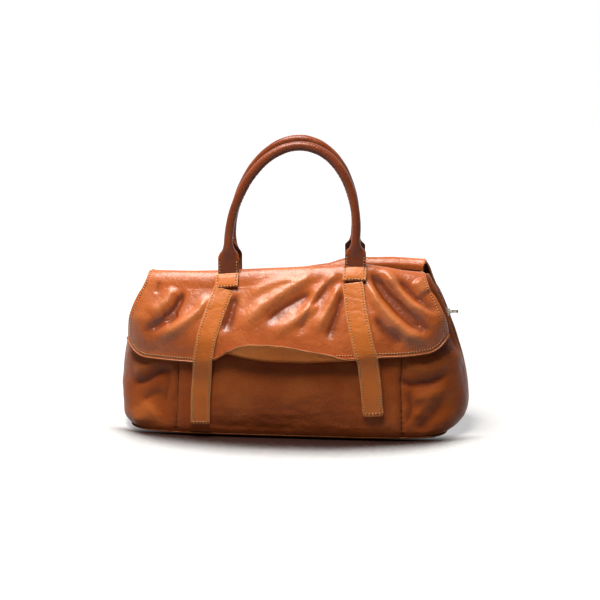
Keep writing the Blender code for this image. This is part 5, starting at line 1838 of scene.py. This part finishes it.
@dataclass
class Zip(Soft):
    """Two woven tapes with their coil rows, from end to end over the top."""

    low: float = 0.046
    tape_end: float = 0.008
    bend: float = 0.163
    inset_low: float = 4.2 * MM
    inset_high: float = 3.4 * MM
    top_drop: float = 8.5 * MM
    bead: float = 1.1 * MM
    closed: float = 1.8 * MM
    mouth: float = 17.0 * MM
    under_leather: float = 5.5 * MM
    slider_height: float = 0.140
    slider_length: float = 0.0100
    pitch: float = 1.7 * MM
    tape: float = 0.7 * MM

    def _line(self, z: float) -> float:
        """How far out the zip lies at a height of its straight end run."""
        skin = self.skin
        low = skin.ring(float(skin.place_at(self.low)))[1] - self.inset_low
        high = skin.ring(float(skin.place_at(self.bend)))[1] - self.inset_high
        return low + (high - low) * (z - self.low) / (self.bend - self.low)

    def _path(self) -> Array:
        """The zip's middle line from the right stop over the top to the left one."""
        skin = self.skin
        top = skin.ring(float(skin.form.last))[0] - self.top_drop
        heights = np.linspace(self.low - self.tape_end, self.bend, 60)
        run = np.array([(self._line(z), 0, z) for z in heights])
        end = np.array([skin.ring(float(skin.form.last))[1] - 10 * MM, 0, top])
        control = np.array([self._line(top), 0, top])
        share = np.linspace(0, 1, 21)[1:, None]
        corner = run[-1] * (1 - share) ** 2 + control * 2 * share * (1 - share) + end * share**2
        middle = np.array([(x, 0, top) for x in np.linspace(end[0], 0, 60)[1:]])
        half = np.concatenate([run, corner, middle])
        path = np.concatenate([half, (half * [-1, 1, 1])[-2::-1]])
        path[:, 0] += skin.lean(path[:, 2])
        return path

    def _offsets(self, path: Array) -> Array:
        """How far each row stands from the middle: closed under the slider, apart on top."""
        closed, wide = self.closed / 2 + self.bead, self.mouth / 2 + self.bead
        along = lengths_along(path)
        above = path[:, 2] > self.slider_height + self.slider_length / 2
        start = along[int(np.argmax(above))]
        share = np.clip((along - start) / (along[-1] - start), 0, 1)
        swell = np.sin(np.clip(share / 0.9, 0, 1) * math.pi) ** 0.7
        return closed + (wide - closed) * swell

    def _margin(self, place: float, right: bool, reach: float) -> Array:
        """A point behind the leather's edge by the zip."""
        skin = self.skin
        mark = skin.mark_y(place, skin.ring(place)[5] + reach, right)
        return skin.point(place, mark, -2.4 * MM - 0.5 * reach)

    def _row(self, point: Array, offset: float) -> list[Array]:
        """One row across the front tape, from its tooth line to under the leather."""
        flat = self.bead + 2.0 * MM
        inner = point - np.array([0, offset, 0])
        side = inner - np.array([0, flat, 0])
        skin = self.skin
        if point[2] > self.bend:
            top = skin.ring(float(skin.form.last))[0] - self.top_drop
            corner = (top - point[2]) / (top - self.bend)
            low = self._margin(float(skin.place_at(self.bend)), True, self.under_leather)
            pull = (self._line(self.bend) + float(skin.lean(self.bend)) - low[0]) * corner**0.5
            pull += 5 * MM * corner * (1 - corner)
            x = math.copysign(max(abs(point[0]) - pull, 0), point[0])
            y = -0.0117 - self.under_leather - 11 * MM * corner * (1 - corner)
            under = np.array([x, y, point[2] - self.tape * 2 * corner])
            return [inner, side, (side + under) / 2, under]
        place = float(skin.place_at(point[2]))
        edge = self._margin(place, point[0] > 0, 0)
        if edge[1] > side[1] - 0.4 * MM:
            edge = side - np.array([0, 0.4 * MM, 0])
        return [inner, side, edge, self._margin(place, point[0] > 0, self.under_leather)]

    def build(self) -> None:
        """Makes both tapes and both rows of coil."""
        path = self._path()
        offsets = self._offsets(path)
        coarse = np.array([self._row(*pair) for pair in zip(path, offsets)])
        # Three columns between each two of a row's points.
        fine = [
            coarse[:, k] * (1 - share) + coarse[:, k + 1] * share
            for k in range(3) for share in (0, 1 / 3, 2 / 3)
        ]
        grid = self.settle.applied(np.stack([*fine, coarse[:, 3]], axis=1))
        # Seen from above, rows run to the left and columns towards the front.
        front = Patch(grid)
        if front.normals()[len(path) // 2, 2, 2] < 0:
            front = Patch(grid[:, ::-1])
        for label, patch in (("front", front), ("rear", front.mirrored())):
            sheet_object(
                f"{label}_zip_tape_woven", patch, self.tape, (self.palette.tape,) * 2, Body.BAG,
                Slot.TAPE, f"{label}_zip_tape",
            )
        self._coil(path, offsets)

    def _coil(self, path: Array, offsets: Array) -> None:
        """The coil's turns, one modelled and copied along each row."""
        points, faces = ball(8, 6)
        size = np.array([self.pitch * 0.36, self.bead * 0.98, self.bead * 0.98])
        turn = (np.sign(points) * np.abs(points) ** 0.75 * size, faces)
        tangent = unit(np.gradient(path, axis=0))
        outward = tangent[:, ::-1] * [1, 0, -1]
        centre = path + outward * (self.bead + 0.4 * MM)
        along = lengths_along(path)
        marks = np.arange(3 * MM, along[-1] - 3 * MM, self.pitch)
        for side in Side:
            row = self.settle.applied(centre + offsets[:, None] * [0, side.value, 0])
            shifted = marks + (self.pitch / 2 if side is Side.REAR else 0)
            spot, run, out = (sampled(shifted, along, line) for line in (row, tangent, outward))
            placed = copied(turn, spot, (run, np.cross(out, run), out))
            obj = mesh_object(f"{side.label}_zip_coil", *placed, self.palette.coil)
            settle_in(obj, Body.BAG, Slot.COIL, f"{side.label}_zip_teeth")


@dataclass(frozen=True)
class Pull:
    """A short cast pull: a ring through the slider's crown and a flat tab threaded on it."""

    palette: Palette
    pivot: Triple = (0.184409, 0.0025, 0.141504)
    ring: float = 2.2 * MM
    wire: float = 0.34 * MM
    length: float = 7.4 * MM
    height: float = 3.6 * MM
    thickness: float = 1.3 * MM

    def build(self) -> None:
        """Makes the ring, the tab and its rolled end as one piece."""
        deselect()
        bpy.ops.mesh.primitive_torus_add(
            major_radius=self.ring, minor_radius=self.wire, major_segments=32, minor_segments=10,
            location=(self.ring, 0, 0),
        )
        ring = bpy.context.active_object
        bpy.ops.mesh.primitive_cube_add(size=1, location=(self.ring + self.length / 2, 0, 0))
        tab = bpy.context.active_object
        tab.scale = (self.length, self.thickness, self.height)
        bpy.ops.mesh.primitive_cylinder_add(
            vertices=24, radius=1.15 * MM, depth=self.height,
            location=(self.ring + self.length, 0, 0),
        )
        roll = bpy.context.active_object
        # The rolled end gets the darker nickel: painted shade.
        roll.data.materials.append(self.palette.dark_nickel)
        for obj in (tab, roll):
            activate(obj)
            bpy.ops.object.transform_apply(location=False, rotation=False, scale=True)
            apply_modifier(obj, "BEVEL", width=0.35 * MM, segments=3)
        for obj in (ring, tab):
            obj.data.materials.append(self.palette.nickel)
        for obj in (ring, tab, roll):
            obj.select_set(True)
        bpy.context.view_layer.objects.active = ring
        bpy.ops.object.join()
        bpy.ops.object.transform_apply(location=True, rotation=True, scale=True)
        ring.data.transform(Matrix.Translation(self.pivot))
        ring.name = ring.data.name = "zip_pull_tab"
        smooth(ring, 40)
        settle_in(ring, Body.PULL, Slot.METAL, "zip_pull")


# Studio


@dataclass(frozen=True)
class Studio:
    """A pale floor, a big soft lamp overhead, weak fill, and the photograph's view."""

    azimuth: float = 5.5
    elevation: float = 12.0
    distance: float = 1.7
    target: Triple = (0.0060, 0.0, 0.152)
    lens: float = 85.0
    key_power: float = 27.5
    fill_power: float = 0.5
    ambient: float = 0.045
    white_from: float = 0.34
    white_to: float = 0.85
    # How far the floor's painted contact shadow reaches, and where it starts and ends by ambient
    # occlusion.
    shade_reach: float = 0.20
    shade_from: float = 0.62
    shade_to: float = 0.83

    def _lamp(
        self, name: str, place: Triple, aim: Triple,
        size: tuple[float, float], power: float, colour: str,
    ) -> None:
        """One soft rectangular lamp."""
        data = bpy.data.lights.new(name, "AREA")
        data.shape = "RECTANGLE"
        data.size, data.size_y = size
        data.energy = power
        data.color = linear(colour)[:3]
        lamp = bpy.data.objects.new(name, data)
        lamp.location = place
        heading = Vector(aim) - Vector(place)
        lamp.rotation_euler = heading.to_track_quat("-Z", "Y").to_euler()
        bpy.context.scene.collection.objects.link(lamp)

    def _floor(self) -> None:
        """Seamless paper: white to the camera but for the lamp's shadow and a painted contact
        shadow in front of the bag, drawn from ambient occlusion; grey in what it reflects.
        """
        deselect()
        bpy.ops.mesh.primitive_grid_add(x_subdivisions=8, y_subdivisions=8, size=8)
        floor = bpy.context.active_object
        floor.name = "floor_paper"
        material = bpy.data.materials.new("matt_backdrop_paper")
        add = emptied(material)
        rays = add("LightPath").outputs
        inputs = {0: rays["Is Camera Ray"], 1: rays["Is Glossy Ray"]}
        seen = add("Math", inputs, operation="MAXIMUM")
        place = add("TexCoord").outputs["Object"]
        reach = add("VectorMath", {0: place}, operation="LENGTH").outputs["Value"]
        # Ambient occlusion near the bag, limited to the floor in front of it, masks the painted
        # contact shadow.
        sky = add("AmbientOcclusion", {"Distance": self.shade_reach}, samples=16).outputs["AO"]
        depth = add("SeparateXYZ", {"Vector": place}).outputs["Y"]
        far, clear, beside = (
            add("MapRange", {"Value": value, "From Min": low, "From Max": high, "To Min": least},
                interpolation_type="SMOOTHSTEP")
            for value, low, high, least in (
                (reach, self.white_from, self.white_to, 0.52),
                (sky, self.shade_from, self.shade_to, 0.0), (depth, -0.062, -0.030, 0.0),
            )
        )
        unshaded = add("Math", {0: clear, 1: beside}, operation="MAXIMUM")
        # dark is the painted contact shadow's colour.
        white, dark, grey = (
            add("BsdfDiffuse", {"Color": colour})
            for colour in ((0.5, 0.5, 0.5, 1), linear("#35231f"), (0.12, 0.115, 0.11, 1))
        )
        glow = add("Emission", {"Color": (1, 1, 1, 1), "Strength": far})
        lit = add("AddShader", {0: white, 1: glow})
        shaded = add("MixShader", {0: unshaded, 1: dark, 2: lit})
        add("OutputMaterial", {"Surface": add("MixShader", {0: seen, 1: grey, 2: shaded})})
        floor.data.materials.append(material)

    def _world(self) -> None:
        """A dim even room whose backdrop is white to the camera and in reflections."""
        world = bpy.data.worlds.new("white_room")
        bpy.context.scene.world = world
        add = emptied(world)
        rays = add("LightPath").outputs
        inputs = {0: rays["Is Camera Ray"], 1: rays["Is Transmission Ray"]}
        clear = add("Math", inputs, operation="MAXIMUM")
        seen = add("Math", {0: clear, 1: rays["Is Glossy Ray"]}, operation="MAXIMUM")
        depth = add("SeparateXYZ", {"Vector": add("TexCoord").outputs["Generated"]}).outputs["Y"]
        span = {"Value": depth, "From Min": -0.35, "From Max": 0.35, "To Min": 0.25}
        shown = add("Math", {0: add("MapRange", span), 1: clear}, operation="MAXIMUM")
        strength = add("Mix", {"Factor": seen, "A": self.ambient, "B": shown})
        back = add("Background", {"Color": (1, 1, 1, 1), "Strength": strength})
        add("OutputWorld", {"Surface": back})

    def build(self) -> None:
        """Sets up the floor, the light and the camera."""
        self._floor()
        self._world()
        self._lamp(
            "overhead_softbox", (-0.22, -0.26, 1.28), (0.0, -0.05, 0.1), (0.85, 0.50),
            self.key_power, "#fffaf3",
        )
        self._lamp(
            "front_fill", (-0.5, -1.9, 0.75), (0.0, 0.0, 0.12), (1.6, 0.9),
            self.fill_power, "#fffaf5",
        )
        a, e = math.radians(self.azimuth), math.radians(self.elevation)
        aim = Vector(self.target)
        away = Vector((math.sin(a) * math.cos(e), -math.cos(a) * math.cos(e), math.sin(e)))
        data = bpy.data.cameras.new("photo_view")
        data.lens = self.lens
        camera = bpy.data.objects.new("photo_view", data)
        camera.location = aim + away * self.distance
        camera.rotation_euler = (-away).to_track_quat("-Z", "Y").to_euler()
        bpy.context.scene.collection.objects.link(camera)
        bpy.context.scene.camera = camera
        bpy.context.scene.view_settings.view_transform = "Standard"


def dress_kept_nodes(palette: Palette) -> None:
    """Gives the CAD nodes that stay in view their own finish."""
    finishes = {
        palette.nickel: (
            "zip_slider", "zip_bottom_stop", "front_left_foot", "front_right_foot",
            "rear_left_foot", "rear_right_foot",
        ),
        palette.board: ("base_board",),
    }
    for finish, nodes in finishes.items():
        for node in nodes:
            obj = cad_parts[node]
            for slot in obj.material_slots:
                slot.material = finish
            LOG.info("%s: finished in %s", node, finish.name)


def main() -> None:
    """Builds the bag's pieces in order, then the studio."""
    logging.basicConfig(level=logging.INFO, format="%(name)s: %(message)s")
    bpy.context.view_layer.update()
    palette = Palette()
    skin, settle = Skin(BagForm()), Settle()
    sewing = Sewing(palette)
    dress_kept_nodes(palette)
    BodyWalls(skin, settle, palette).build()
    flap = Flap(skin, settle, palette)
    flap.build(sewing)
    yoke = RearYoke(skin, settle, palette)
    yoke.build(sewing)
    Strap(
        flap, palette, "left_strap", Body.LEFT_STRAP,
        ((23, -103.3), (47, -103), (95, -99.5), (118, -95.7), (150, -87.4), (180, -78)),
        0.0170, 1.5 * MM, 0.6, 50.0,
    ).build(sewing)
    Strap(
        flap, palette, "right_strap", Body.RIGHT_STRAP,
        ((30, 99.6), (60, 97.2), (95, 92.6), (118, 85.6), (147, 77.8), (180, 71.6)),
        0.0315, 4.0 * MM, 1.0, 60.0, width=0.0242,
    ).build(sewing)
    Handle(skin, settle, palette, flap, Side.FRONT, lower=4.5 * MM).build(sewing)
    Handle(skin, settle, palette, yoke, Side.REAR, shift_x=REAR_SHIFT).build(sewing)
    fold_z = skin.ring(skin.form.fold)[0]
    for side, cover in ((Side.FRONT, flap), (Side.REAR, yoke)):
        for end, x, raised in (("left", -0.0762, 0.0), ("right", 0.0742, 1.6 * MM)):
            label = f"{side.label}_{end}"
            place = x if side is Side.FRONT else x + REAR_SHIFT
            Keeper(cover, palette, side, label, place, width=0.0268).build(sewing, fold_z + raised)
    Zip(skin, settle, palette).build()
    Pull(palette).build()
    Studio().build()


if __name__ == "__main__":
    main()
